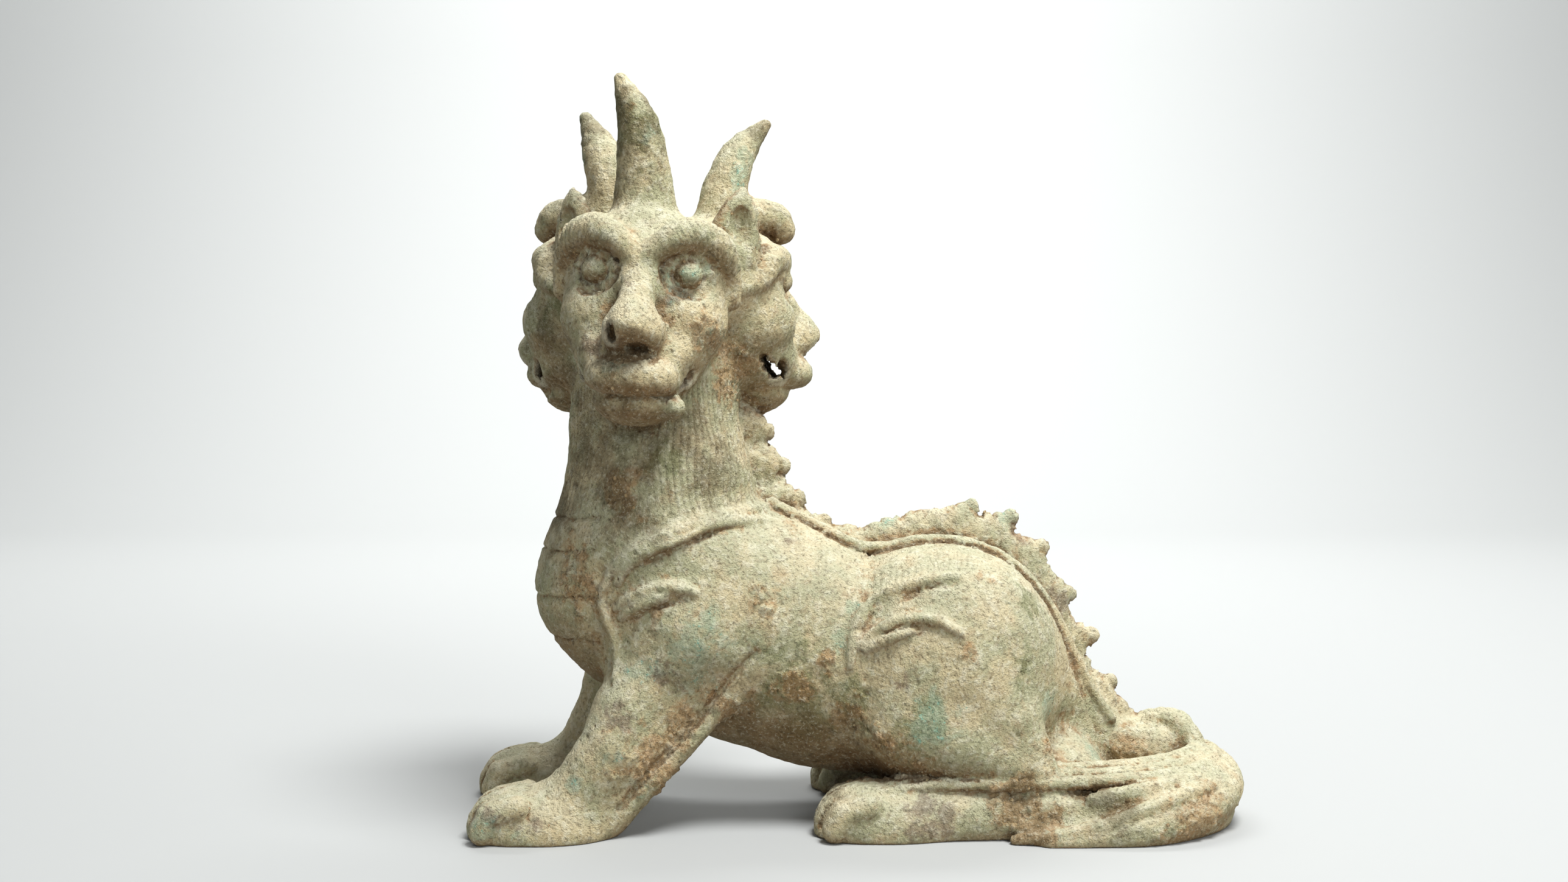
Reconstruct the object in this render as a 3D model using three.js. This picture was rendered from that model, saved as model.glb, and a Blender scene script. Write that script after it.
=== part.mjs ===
import * as THREE from "three";

// A cast bronze guardian beast with three one-horned heads round a single neck, a toothed crest down its
// back and a ribbed tail curled round its near side. It crouches on its haunches with its forelegs braced.
// The casting is one piece, so it is one solid. Millimetres, +Z up, -X ahead of the beast, -Y its near side.

// The work is modelled as a smooth blend of rounded forms. Each form says how far a point lies outside it,
// neighbours melt into each other over a blend width, and the blended field is turned into a closed surface
// that is thinned to few triangles, most of them where it bends most.
const GRID = 2;
const TRIANGLES = 9200;
const BRONZE = 0xa39b7c;

// Driving dimensions. A point in a side list is [x, z], seen from the near side.
const NECK = { x: -50.5, y: 0, radius: 33 };
const STANCE = { near: -37, far: 28 };
const HIND = { near: -34, far: 37 };
const PAW = { length: 54, width: 31, height: 18.5 };
const TRUNK = [
  [-50.5, 87, 41.5],
  [-28, 78, 45],
  [-11, 72.5, 46],
  [3, 67, 45],
  [14, 61.5, 44],
  [27, 57.5, 42],
  [42, 58, 43.5],
  [60, 59, 48],
  [76, 58, 33],
];
const TRUNK_WIDTH = 0.8;
const SPINE = [
  [-19, 150],
  [-10, 126],
  [1, 110.5],
  [12, 103],
  [27, 99.7],
  [46, 104],
  [61, 108],
  [76, 105],
  [89, 97],
  [100, 84],
  [107, 63],
  [116, 46],
  [129, 34],
];
const TEETH = [
  [-4.5, 148],
  [1.7, 135],
  [7.4, 123],
  [16.6, 114.5],
  [26, 110.5],
  [40.5, 113],
  [55, 116],
  [75, 121],
  [91.5, 116.5],
  [104.5, 104],
  [115.5, 84],
  [125, 68],
  [131.5, 50],
];
const CARVED = [
  [[-10.5, 117], [-24, 114], [-42, 107], [-57, 99]],
  [[-36, 91.5], [-48.5, 88.5], [-62, 81]],
  [[64, 94], [47, 88], [32, 79], [28, 72]],
  [[64, 77], [49, 81.5], [40, 78], [31, 71]],
];

const vector = (p) => new THREE.Vector3(p[0], p[1], p[2]);
const middle = (x) => 0.05 * x;

// Forms.

// An ellipsoid, turned about X, Y and Z by angles in degrees.
function egg(centre, radii, turn = [0, 0, 0]) {
  const [ax, ay, az] = turn.map(THREE.MathUtils.degToRad);
  const place = new THREE.Matrix4()
    .makeRotationFromEuler(new THREE.Euler(ax, ay, az))
    .setPosition(vector(centre));
  const [rx, ry, rz] = radii;
  const ball = {
    box: new THREE.Box3(new THREE.Vector3(-rx, -ry, -rz), new THREE.Vector3(rx, ry, rz)),
    distance(x, y, z) {
      const nearer = Math.hypot(x / rx, y / ry, z / rz);
      const slope = Math.hypot(x / rx ** 2, y / ry ** 2, z / rz ** 2);
      return slope < 1e-9 ? -Math.min(...radii) : (nearer * (nearer - 1)) / slope;
    },
  };
  return placed(ball, place);
}

// A limb through points [x, y, z, radius], narrowed along each axis by a squash factor.
function limb(points, squash = [1, 1, 1]) {
  const box = new THREE.Box3();
  points.forEach(([x, y, z, r]) => {
    box.expandByPoint(new THREE.Vector3(x - r, y - r, z - r));
    box.expandByPoint(new THREE.Vector3(x + r, y + r, z + r));
  });
  const [sx, sy, sz] = squash;
  const thinnest = Math.min(...squash);
  const bones = points.slice(1).map((end, i) => {
    const [ax, ay, az, ar] = points[i];
    const a = [ax / sx, ay / sy, az / sz];
    const d = [end[0] / sx - a[0], end[1] / sy - a[1], end[2] / sz - a[2]];
    return { a, d, length2: d[0] ** 2 + d[1] ** 2 + d[2] ** 2, ar, dr: end[3] - ar };
  });
  return {
    box,
    distance(x, y, z) {
      let nearest = Infinity;
      for (const { a, d, length2, ar, dr } of bones) {
        const px = x / sx - a[0];
        const py = y / sy - a[1];
        const pz = z / sz - a[2];
        const t = Math.min(1, Math.max(0, (px * d[0] + py * d[1] + pz * d[2]) / length2));
        const away = Math.hypot(px - t * d[0], py - t * d[1], pz - t * d[2]);
        nearest = Math.min(nearest, away - ar - t * dr);
      }
      return nearest * thinnest;
    },
  };
}

// Points [x, y, z, radius] of a smooth curve through a few given ones.
function smooth(points, steps) {
  const line = new THREE.CatmullRomCurve3(points.map(vector), false, "centripetal");
  const radii = new THREE.SplineCurve(points.map((p, i) => new THREE.Vector2(i, p[3])));
  return Array.from({ length: steps + 1 }, (_, i) => {
    const p = line.getPoint(i / steps);
    return [p.x, p.y, p.z, radii.getPoint(i / steps).y];
  });
}

// A form made in a frame of its own and set in place by a matrix.
function placed(form, matrix) {
  const inverse = matrix.clone().invert();
  const point = new THREE.Vector3();
  return {
    box: form.box.clone().applyMatrix4(matrix),
    distance(x, y, z) {
      point.set(x, y, z).applyMatrix4(inverse);
      return form.distance(point.x, point.y, point.z);
    },
  };
}

// The clay: what is done to it, in order. A form is added or cut away over a blend width.
const strokes = [];
const add = (form, blend) => strokes.push({ form, blend, mix: (was, d) => soften(was, d, blend) });
const cut = (form, blend) => strokes.push({ form, blend, mix: (was, d) => -soften(-was, d, blend) });

function soften(a, b, blend) {
  const near = blend > 0 ? Math.max(0, blend - Math.abs(a - b)) / blend : 0;
  return Math.min(a, b) - (near * near * blend) / 4;
}

// Where a point comes to lie on the clay when it is brought in along a direction.
function pressed([x, y, z], [dx, dy, dz]) {
  let way = 0;
  for (let i = 0; i < 60; i += 1) {
    const at = [x + dx * way, y + dy * way, z + dz * way];
    const away = strokes.reduce((was, { form, mix }) => mix(was, form.distance(...at)), 20);
    if (away < 0.1) break;
    way += away * 0.6;
  }
  return [x + dx * way, y + dy * way, z + dz * way];
}

// A raised line on both flanks, given in side view.
function carve(points, radius) {
  for (const side of [-1, 1]) {
    const line = smooth(points.map(([x, z]) => [x, 0, z, 0]), 10);
    add(limb(line.map(([x, , z]) => [...pressed([x, side * 60, z], [0, -side, 0]), radius])), 2);
  }
}

function trunk() {
  add(limb(smooth(TRUNK.map(([x, z, r]) => [x, middle(x), z, r]), 24), [1, TRUNK_WIDTH, 1]), 0);
  add(egg([91, middle(91), 42], [18, 25, 30], [0, 15, 0]), 11);
  add(egg([-69, middle(-69), 89], [26.5, 29, 25]), 8);
  const { x, y, radius } = NECK;
  const neck = [
    [x, y, 188, radius - 3],
    [x, y, 150, radius],
    [x + 2, y, 127, radius + 3.5],
    [x + 1, y, 108, radius + 8],
  ];
  add(limb(neck), 9);
}

function forelegs() {
  for (const [side, y, ahead] of [[-1, STANCE.near, 0], [1, STANCE.far, -11]]) {
    const hip = side * 27;
    add(egg([-34, side * 21, 82], [34, 21, 38], [0, -12, 0]), 8);
    const leg = [
      [-36, hip, 75, 20],
      [-47 + ahead * 0.8, hip, 60, 16],
      [-57.5 + ahead, y * 0.9, 47, 13],
      [-63.5 + ahead * 0.9, y, 33, 12],
      [-74 + ahead * 0.7, y, 19, 11],
      [-86 + ahead * 0.7, y, 10, 9],
    ];
    add(limb(leg, [1, 0.9, 1]), 8);
    // The thin web behind the leg, with its raised trailing edge.
    const web = [
      [-28, hip, 62, 9],
      [-44 + ahead / 2, y * 0.9, 43, 8],
      [-56 + ahead, y, 27, 8],
      [-66 + ahead, y, 13, 9],
    ];
    add(limb(web, [1, 0.7, 1]), 6);
    const edge = [
      [-12, hip, 64, 4.5],
      [-31 + ahead / 2, y * 0.9, 39, 4],
      [-47 + ahead, y, 22.5, 4],
      [-63 + ahead, y, 6, 5],
    ];
    add(limb(edge), 5);
    paw(-90 + ahead * 0.7, y);
  }
}

// A paw pointing ahead, flat beneath, with four worn toes.
function paw(x, y) {
  const { length, width, height } = PAW;
  add(egg([x, y, 3], [length / 2, width / 2, height - 3]), 5);
  add(egg([x - length * 0.2, y, 6], [length * 0.27, width * 0.48, height - 6]), 4);
  for (let toe = 0; toe < 4; toe += 1) {
    const across = ((toe - 1.5) / 4) * width;
    const reach = length * (0.37 - 0.03 * Math.abs(toe - 1.5));
    add(limb([[x - reach * 0.6, y + across, 9, 6], [x - reach, y + across, 4.5, 5.4]]), 1.5);
  }
}

function haunches() {
  for (const [side, y] of [[-1, HIND.near], [1, HIND.far]]) {
    add(egg([61, y - side * 12, 58], [34, 20, 39], [0, 12, 0]), 14);
    add(limb([[46, y - side * 6, 40, 15], [66, y - side * 3, 34, 15], [90, y, 24, 9]]), 8);
    const shin = [
      [70, y - side * 8, 56, 18],
      [84, y - side * 3, 42, 12],
      [94, y, 25, 7],
      [100, y, 14, 7],
    ];
    add(limb(shin), 5);
    add(limb([[100, y - side, 7, 11], [62, y, 7, 12.5], [34, y, 7, 11]]), 5);
    paw(38, y);
  }
}

// The tail: a sheaf of strands that leaves the rump, bends round at the back and returns along the near
// side, its inner strands lying on the foot and its outer rim sinking to the ground.
const BED = [
  [154, 14, 7, 12],
  [161, -6, 6, 13],
  [155, -22, 6, 13.5],
  [136, -37, 6, 13],
  [112, -41, 5, 11],
  [94, -41, 4, 9],
];
const STRANDS = [
  [
    [129, 8, 29, 4],
    [146, 11, 26, 4.5],
    [158, 9, 25, 4.5],
    [162, -5, 25, 5],
    [152, -20, 24.5, 5],
    [132, -29, 23.5, 4.7],
    [105, -33, 22.5, 4.5],
    [78, -34, 22, 4.2],
    [57, -34.5, 21, 3.4],
    [45, -36, 20, 2],
  ],
  [
    [142, 19, 24, 5],
    [160, 14, 24, 5],
    [167.5, 0, 23, 5],
    [161, -20, 22.5, 5],
    [145, -32.5, 21, 5],
    [125, -38.5, 20.5, 4.6],
    [98, -40.5, 20, 4.2],
    [72, -41, 19.5, 3.8],
    [50, -39.5, 19, 2.4],
  ],
  [
    [150, 20, 19, 5],
    [168, 4, 20, 5],
    [166, -18, 19, 5],
    [153, -34, 16.5, 5],
    [136, -42, 14, 4.5],
    [116, -45, 12, 4],
  ],
  [
    [152, 20, 14, 7],
    [167, 6, 16, 7.5],
    [168.5, -14, 15, 7.5],
    [162, -28, 12, 7.5],
    [148, -38.5, 8.5, 7.5],
    [132, -45, 5, 7.5],
    [114, -47, 3, 6.5],
    [97, -47.5, 1, 6],
  ],
];
const SCROLL = [
  [137, 8, 31, 4],
  [147, 7, 33.5, 5.2],
  [155, 6, 32.5, 6],
  [160, 2, 27, 5],
];

function tail() {
  const root = [
    [108, 8, 44, 15],
    [124, 9, 27, 13],
    [140, 12, 19, 12],
    [154, 12, 15, 11],
  ];
  add(limb(root), 10);
  add(limb(smooth(BED, 24)), 6);
  add(egg([124, -12, 4], [40, 27, 13]), 5);
  add(egg([142, 4, 22], [18, 9, 12]), 5);
  add(egg([106, -8, 14], [18, 22, 19]), 8);
  STRANDS.forEach((strand) => add(limb(smooth(strand, 30)), 2.5));
  // The scroll that stands on the tail where it bends.
  add(limb(smooth(SCROLL, 8)), 2);
  cut(egg([149, -0.5, 34], [2.2, 3.2, 2.2]), 1.5);
}

// The crest: worn teeth standing on the middle of the back, leaning towards the tail, each with its root on
// the spine, and the cord that runs on both sides along the crest's foot.
function crest() {
  const spine = smooth(SPINE.map(([x, z]) => [x, 0, z, 0]), 80);
  const across = (x) => (x < 20 ? THREE.MathUtils.mapLinear(x, -19, 20, 12, 3) : 3) + middle(x);
  const outward = (i) => {
    const [from, to] = [spine[Math.max(0, i - 1)], spine[Math.min(spine.length - 1, i + 1)]];
    const length = Math.hypot(to[0] - from[0], to[2] - from[2]);
    return [(from[2] - to[2]) / length, (to[0] - from[0]) / length];
  };
  for (const side of [-1, 1]) {
    const cord = spine.map(([x, , z], i) => {
      const [nx, nz] = outward(i);
      return [...pressed([x + 14 * nx, across(x) + side * 11, z + 14 * nz], [-nx, 0, -nz]), 1.9];
    });
    add(limb(cord.filter((_, i) => i % 2 === 0 && i > 8)), 1.5);
  }
  const wall = spine.map(([x, , z], i) => [x + outward(i)[0], across(x), z + outward(i)[1], 9]);
  add(limb(wall.filter((_, i) => i % 4 === 0), [1, 0.6, 1]), 4);
  for (const [x, z] of TEETH) {
    const away = spine.map((p) => Math.hypot(p[0] - x, p[2] - z));
    const nearest = spine[Math.max(0, away.indexOf(Math.min(...away)) - 2)];
    const share = (t, r) => [
      nearest[0] + (x - nearest[0]) * t,
      across(x),
      nearest[2] + (z - nearest[2]) * t,
      r,
    ];
    add(limb([share(-0.2, 11), share(0.4, 7.5), share(0.82, 3.8)], [1, 0.6, 1]), 2.5);
  }
}

// One head in its own frame: X towards its nose, Y to its left, Z up, the neck's axis at the origin.
function head(place, { horn, tuft, drop, snout, lip, sag, sunk }) {
  const on = (form, blend) => add(placed(form, place), blend);
  const off = (form, blend) => cut(placed(form, place), blend);
  const both = (make) => [-1, 1].forEach((side) => make(side));
  on(egg([24, 0, 206], [31, 31, 26]), 10);
  on(egg([32, 0, 181], [25, 25, 18]), 8);
  both((s) => on(egg([33, s * 17.5, 192], [17, 13.5, 16]), 6));
  on(limb([[44, 0, 211, 11], [57, 0, 200 - sag * 0.6, 8.5], [66 - snout, 0, 190 - sag, 8]]), 5);
  on(egg([66 - snout, 0, 187.5 - sag], [10, 10.8, 8.5]), 3);
  on(egg([56.5 - lip, 0, 173 - drop * 0.4], [15, 17.5, 8]), 4);
  const jaw = [
    [34, 0, 168, 12],
    [47 - lip * 0.4, 0, 164 - drop * 0.6, 7],
    [60 - lip, 0, 165.5 - drop, 5],
  ];
  on(limb(jaw, [1, 1.6, 1]), 4);
  both((s) => {
    const brow = [
      [50, s * 4, 214, 4.5],
      [45.5, s * 12, 218.5, 6.2],
      [37, s * 21, 218, 6.2],
      [25, s * 28, 212, 5.5],
    ];
    on(limb(brow), 3);
    off(limb([[51, s * 9, 211.5, 1.6], [49, s * 16, 213, 1.8], [39, s * 25, 209, 1.6]]), 1);
    const lid = (low, high, middle) => [
      [52 - sunk, s * 9, low, 2.4],
      [middle - sunk, s * 16.5, high, 2.5],
      [42 - sunk, s * 24, low, 2.4],
    ];
    on(limb(smooth(lid(206, 210, 50), 6)), 1);
    on(limb(smooth(lid(205, 200, 49), 6)), 1.5);
    on(egg([47 - sunk, s * 16.5, 205.2], [7.6, 6.2, 5.2]), 1);
    off(egg([70 - snout, s * 5, 181 - sag * 0.8], [5, 3.6, 3.2]), 1.5);
    on(egg([50 - lip, s * 17, 168.5 - drop * 0.4], [5, 4, 4.5]), 2.5);
    const slit = 164 - drop * 0.4;
    off(limb([[50 - lip, s * 15, slit + 0.5, 2.8], [60 - lip, s * 14.5, slit - 0.5, 2.6]]), 1);
  });
  off(egg([49.5 - lip * 0.4, 0, 172.5 - drop * 0.6], [3.4, 40, 7], [0, -30, 0]), 1.5);
  on(limb(smooth(horn, 8)), 4);
  on(limb([[32, 0, 234, 11], [tuft - 8, 0, 235, 8.5], [tuft, 0, 234, 6.8]]), 8);
}

function heads() {
  add(egg([NECK.x, NECK.y, 202], [35, 35, 29]), 8);
  const front = [[28, -2, 224, 13], [30, -3.9, 246, 10], [33, -7, 264, 7.3], [34, -13.4, 278, 2.6]];
  const right = [[27, 0, 226, 10.5], [31, 0, 245, 8.8], [37, 0, 259, 6.8], [48.5, 0, 271, 2.6]];
  const left = [[23, 0, 226, 11.5], [24, 0, 245, 9.5], [29, 0, 259, 7.5], [36.5, 0, 273, 2.6]];
  const facing = [
    { angle: -92, roll: -3.5, back: 0, horn: front, tuft: 50, drop: 5, snout: 0, lip: 0, sag: 0, sunk: 0 },
    { angle: 28, roll: 0, back: 0, horn: right, tuft: 54, drop: 0, snout: 0, lip: 1, sag: 0, sunk: 0 },
    { angle: 148, roll: 0, back: 3, horn: left, tuft: 54, drop: 0, snout: 3, lip: 7, sag: 5.5, sunk: 3.5 },
  ];
  // Turned about the neck, rolled at the height of the nose and drawn back towards the neck.
  const turned = (angle, roll = 0, back = 0) =>
    new THREE.Matrix4()
      .makeRotationZ(THREE.MathUtils.degToRad(angle))
      .setPosition(NECK.x, NECK.y, 0)
      .multiply(new THREE.Matrix4().makeTranslation(-back, 0, 190))
      .multiply(new THREE.Matrix4().makeRotationX(THREE.MathUtils.degToRad(roll)))
      .multiply(new THREE.Matrix4().makeTranslation(0, 0, -190));
  facing.forEach((one) => head(turned(one.angle, one.roll, one.back), one));
  // The ears stand in the corners between the heads, hollow in front.
  facing.forEach(({ angle }) => {
    const place = turned(angle + 60);
    add(placed(limb([[29, 0, 211, 12], [32, 0, 226, 8], [34, 0, 236, 3]], [0.85, 1, 1]), place), 3);
    cut(placed(egg([40, 0, 223], [5, 4.5, 9], [0, -8, 0]), place), 2);
  });
}

// The blended field on a regular grid, each stroke worked only within its reach.
function field() {
  const box = new THREE.Box3();
  strokes.forEach(({ form }) => box.union(form.box));
  box.min.z = -GRID * 1.37;
  box.min.subScalar(GRID * 2);
  box.max.addScalar(GRID * 3);
  const [nx, ny, nz] = box.getSize(new THREE.Vector3()).divideScalar(GRID).ceil().addScalar(1).toArray();
  const values = new Float32Array(nx * ny * nz).fill(20);
  for (const { form, blend, mix } of strokes) {
    const margin = blend + 2 * GRID;
    const low = form.box.min.clone().subScalar(margin).sub(box.min).divideScalar(GRID).floor();
    const high = form.box.max.clone().addScalar(margin).sub(box.min).divideScalar(GRID).ceil();
    for (let k = Math.max(0, low.z); k <= Math.min(nz - 1, high.z); k += 1)
      for (let j = Math.max(0, low.y); j <= Math.min(ny - 1, high.y); j += 1)
        for (let i = Math.max(0, low.x); i <= Math.min(nx - 1, high.x); i += 1) {
          const at = i + nx * (j + ny * k);
          const d = form.distance(box.min.x + i * GRID, box.min.y + j * GRID, box.min.z + k * GRID);
          values[at] = mix(values[at], d);
        }
  }
  // The beast stands on a flat underside.
  for (let k = 0; k < nz; k += 1)
    for (let at = nx * ny * k; at < nx * ny * (k + 1); at += 1)
      values[at] = Math.max(values[at], -(box.min.z + k * GRID));
  return { values, counts: [nx, ny, nz], origin: box.min };
}

// The closed surface where the field is zero. Six tetrahedra fill each cell of the grid, all round the
// diagonal from corner 0 to corner 7.
const TETRAHEDRA = [[0, 1, 3, 7], [0, 3, 2, 7], [0, 2, 6, 7], [0, 6, 4, 7], [0, 4, 5, 7], [0, 5, 1, 7]];

function surface({ values, counts: [nx, ny, nz], origin }) {
  const positions = [];
  const triangles = [];
  const known = new Map();
  const steps = [0, 1, nx, nx + 1, nx * ny, nx * ny + 1, nx * ny + nx, nx * ny + nx + 1];
  const where = (at) => [at % nx, Math.floor(at / nx) % ny, Math.floor(at / (nx * ny))];
  const crossing = (a, b) => {
    const [low, high] = a < b ? [a, b] : [b, a];
    const key = low * 8 + steps.indexOf(high - low);
    if (!known.has(key)) {
      const t = Math.min(0.98, Math.max(0.02, values[low] / (values[low] - values[high])));
      const [from, to] = [where(low), where(high)];
      from.forEach((c, axis) => {
        positions.push(origin.getComponent(axis) + GRID * (c + t * (to[axis] - c)));
      });
      known.set(key, positions.length / 3 - 1);
    }
    return known.get(key);
  };
  for (let k = 0; k < nz - 1; k += 1)
    for (let j = 0; j < ny - 1; j += 1)
      for (let i = 0; i < nx - 1; i += 1) {
        const base = i + nx * (j + ny * k);
        const inside = steps.map((step) => values[base + step] < 0);
        if (inside.every((v) => v === inside[0])) continue;
        for (const tetra of TETRAHEDRA) {
          const ins = tetra.filter((c) => inside[c]);
          const outs = tetra.filter((c) => !inside[c]);
          if (!ins.length || !outs.length) continue;
          const at = (a, b) => crossing(base + steps[a], base + steps[b]);
          // The order of the corners in the tetrahedron tells which way round a face looks outwards.
          const even = isEven([...ins, ...outs].map((c) => tetra.indexOf(c)));
          const face = (p, q, r) => triangles.push(...(even ? [p, q, r] : [p, r, q]));
          if (ins.length === 1) face(at(ins[0], outs[0]), at(ins[0], outs[1]), at(ins[0], outs[2]));
          else if (ins.length === 3) face(at(ins[0], outs[0]), at(ins[1], outs[0]), at(ins[2], outs[0]));
          else {
            const [a, b] = outs.map((out) => at(ins[0], out));
            const [d, c] = outs.map((out) => at(ins[1], out));
            face(a, b, c);
            face(a, c, d);
          }
        }
      }
  return { positions: Float64Array.from(positions), triangles: Uint32Array.from(triangles) };
}

function isEven(order) {
  const swaps = order.flatMap((a, i) => order.slice(i + 1).filter((b) => a > b)).length;
  return swaps % 2 === 0;
}

// Thins the surface by merging the two ends of the edge that moves it least, again and again. A quadric adds
// up the squared distances to the planes round a vertex. An edge is left alone where merging it would pinch
// the surface or turn a face over.
function thin({ positions, triangles }, target) {
  const count = positions.length / 3;
  const quadrics = new Float64Array(count * 10);
  const around = Array.from({ length: count }, () => new Set());
  const version = new Uint32Array(count);
  const gone = new Uint8Array(triangles.length / 3);
  const point = (v) => [positions[3 * v], positions[3 * v + 1], positions[3 * v + 2]];
  const normal = (p, q, r) => {
    const [ax, ay, az] = [q[0] - p[0], q[1] - p[1], q[2] - p[2]];
    const [bx, by, bz] = [r[0] - p[0], r[1] - p[1], r[2] - p[2]];
    return [ay * bz - az * by, az * bx - ax * bz, ax * by - ay * bx];
  };
  for (let f = 0; f < gone.length; f += 1) {
    const corners = [...triangles.subarray(3 * f, 3 * f + 3)];
    const points = corners.map(point);
    const n = normal(...points);
    const area = Math.hypot(...n) || 1e-12;
    const [a, b, c] = n.map((v) => v / area);
    const d = -(a * points[0][0] + b * points[0][1] + c * points[0][2]);
    const plane = [a * a, a * b, a * c, a * d, b * b, b * c, b * d, c * c, c * d, d * d];
    corners.forEach((v) => {
      around[v].add(f);
      plane.forEach((value, i) => (quadrics[10 * v + i] += value * area));
    });
  }
  const cost = (q, [x, y, z]) =>
    q[0] * x * x + 2 * q[1] * x * y + 2 * q[2] * x * z + 2 * q[3] * x + q[4] * y * y +
    2 * q[5] * y * z + 2 * q[6] * y + q[7] * z * z + 2 * q[8] * z + q[9];
  const sum = new Float64Array(10);
  const merge = (u, v) => {
    for (let i = 0; i < 10; i += 1) sum[i] = quadrics[10 * u + i] + quadrics[10 * v + i];
    const [p, r] = [point(u), point(v)];
    const halfway = p.map((c, i) => (c + r[i]) / 2);
    // A slight pull to the halfway point keeps the best place well defined on flat ground.
    const pull = 1e-3 * (sum[0] + sum[4] + sum[7]);
    const [a, b, c, e, f, i] = [sum[0] + pull, sum[1], sum[2], sum[4] + pull, sum[5], sum[7] + pull];
    const right = [-sum[3], -sum[6], -sum[8]].map((value, axis) => value + pull * halfway[axis]);
    const solve = new THREE.Matrix3().set(a, b, c, b, e, f, c, f, i).invert();
    const best = vector(right).applyMatrix3(solve).toArray();
    const far = Math.hypot(...best.map((value, axis) => value - halfway[axis]));
    const edge = Math.hypot(...p.map((value, axis) => value - r[axis]));
    const place = Number.isFinite(far) && far < 2 * edge ? best : halfway;
    return { u, v, place, cost: cost(sum, place), stamp: version[u] + version[v] };
  };
  const heap = makeHeap();
  for (let f = 0; f < gone.length; f += 1)
    for (let i = 0; i < 3; i += 1) {
      const [u, v] = [triangles[3 * f + i], triangles[3 * f + ((i + 1) % 3)]];
      if (u < v) heap.push(merge(u, v));
    }
  const neighbours = (v) => {
    const set = new Set();
    around[v].forEach((f) => [0, 1, 2].forEach((i) => set.add(triangles[3 * f + i])));
    set.delete(v);
    return set;
  };
  const turnsOver = (v, other, place) =>
    [...around[v]].some((f) => {
      const corners = [0, 1, 2].map((i) => triangles[3 * f + i]);
      if (corners.includes(other)) return false;
      const before = normal(...corners.map(point));
      const after = normal(...corners.map((c) => (c === v ? place : point(c))));
      const along = before[0] * after[0] + before[1] * after[1] + before[2] * after[2];
      return along < 0.25 * Math.hypot(...before) * Math.hypot(...after) || Math.hypot(...after) < 1e-3;
    });
  let left = gone.length;
  while (left > target && heap.size() > 0) {
    const { u, v, place, stamp } = heap.pop();
    if (stamp !== version[u] + version[v] || !around[u].size || !around[v].size) continue;
    const [ring, other] = [neighbours(u), neighbours(v)];
    if (!ring.has(v) || [...ring].filter((n) => other.has(n)).length !== 2) continue;
    if (turnsOver(u, v, place) || turnsOver(v, u, place)) continue;
    place.forEach((value, axis) => (positions[3 * u + axis] = value));
    for (let i = 0; i < 10; i += 1) quadrics[10 * u + i] += quadrics[10 * v + i];
    around[v].forEach((f) => {
      const corners = [0, 1, 2].map((i) => triangles[3 * f + i]);
      if (corners.includes(u)) {
        gone[f] = 1;
        left -= 1;
        corners.forEach((c) => around[c].delete(f));
      } else {
        triangles[3 * f + corners.indexOf(v)] = u;
        around[u].add(f);
      }
    });
    around[v].clear();
    version[u] += 1 + version[v];
    neighbours(u).forEach((n) => heap.push(merge(u, n)));
  }
  return triangles.filter((_, i) => !gone[Math.floor(i / 3)]);
}

// A heap that gives back the cheapest entry first.
function makeHeap() {
  const items = [];
  const swap = (a, b) => ([items[a], items[b]] = [items[b], items[a]]);
  return {
    size: () => items.length,
    push(item) {
      let at = items.push(item) - 1;
      for (let up = (at - 1) >> 1; at > 0 && items[up].cost > items[at].cost; up = (at - 1) >> 1) {
        swap(at, up);
        at = up;
      }
    },
    pop() {
      const top = items[0];
      const last = items.pop();
      if (items.length) items[0] = last;
      for (let at = 0; ; ) {
        let least = at;
        for (const child of [2 * at + 1, 2 * at + 2])
          if (child < items.length && items[child].cost < items[least].cost) least = child;
        if (least === at) return top;
        swap(at, least);
        at = least;
      }
    },
  };
}

trunk();
forelegs();
haunches();
CARVED.forEach((line) => carve(line, 1.8));
tail();
crest();
heads();

const made = surface(field());
const faces = thin(made, TRIANGLES);

// The underside is put on the ground, and the middle of the statue's length and width over the origin.
const used = [...new Set(faces)];
const order = new Map(used.map((v, i) => [v, i]));
const along = (axis) => used.map((v) => made.positions[3 * v + axis]);
const centre = (values) => (Math.max(...values) + Math.min(...values)) / 2;
const [midX, midY] = [centre(along(0)), centre(along(1))];
const corners = used.flatMap((v) => {
  const [x, y, z] = made.positions.subarray(3 * v, 3 * v + 3);
  return [x - midX, y - midY, z < 0.4 ? 0 : z];
});
const geometry = new THREE.BufferGeometry()
  .setAttribute("position", new THREE.BufferAttribute(Float32Array.from(corners), 3))
  .setIndex([...faces].map((v) => order.get(v)));
const bronze = new THREE.MeshStandardMaterial({ color: BRONZE, roughness: 0.9, metalness: 0.15 });

const statue = new THREE.Mesh(geometry, bronze);
statue.name = "xiezhi_statue";
const part = new THREE.Group();
part.add(statue);

export default part;
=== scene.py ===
# %% [markdown]
# # A cast bronze guardian beast
#
# The object is an old hollow bronze casting about a foot long. Three heads with one horn each look out
# from a single neck, a toothed crest runs down the back, the forelegs are braced, the haunches crouch,
# and a ribbed tail curls forward along the near side. The bronze is dull all over: a pale crust of
# earth and corrosion covers it, so the work of this lesson is in the form and in the crust.
#
# First comes the packed model, which is the fixed frame to build around.

# %% The frame
import itertools
import math
import time

import bpy
import numpy as np
from mathutils import Matrix, Vector


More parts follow.
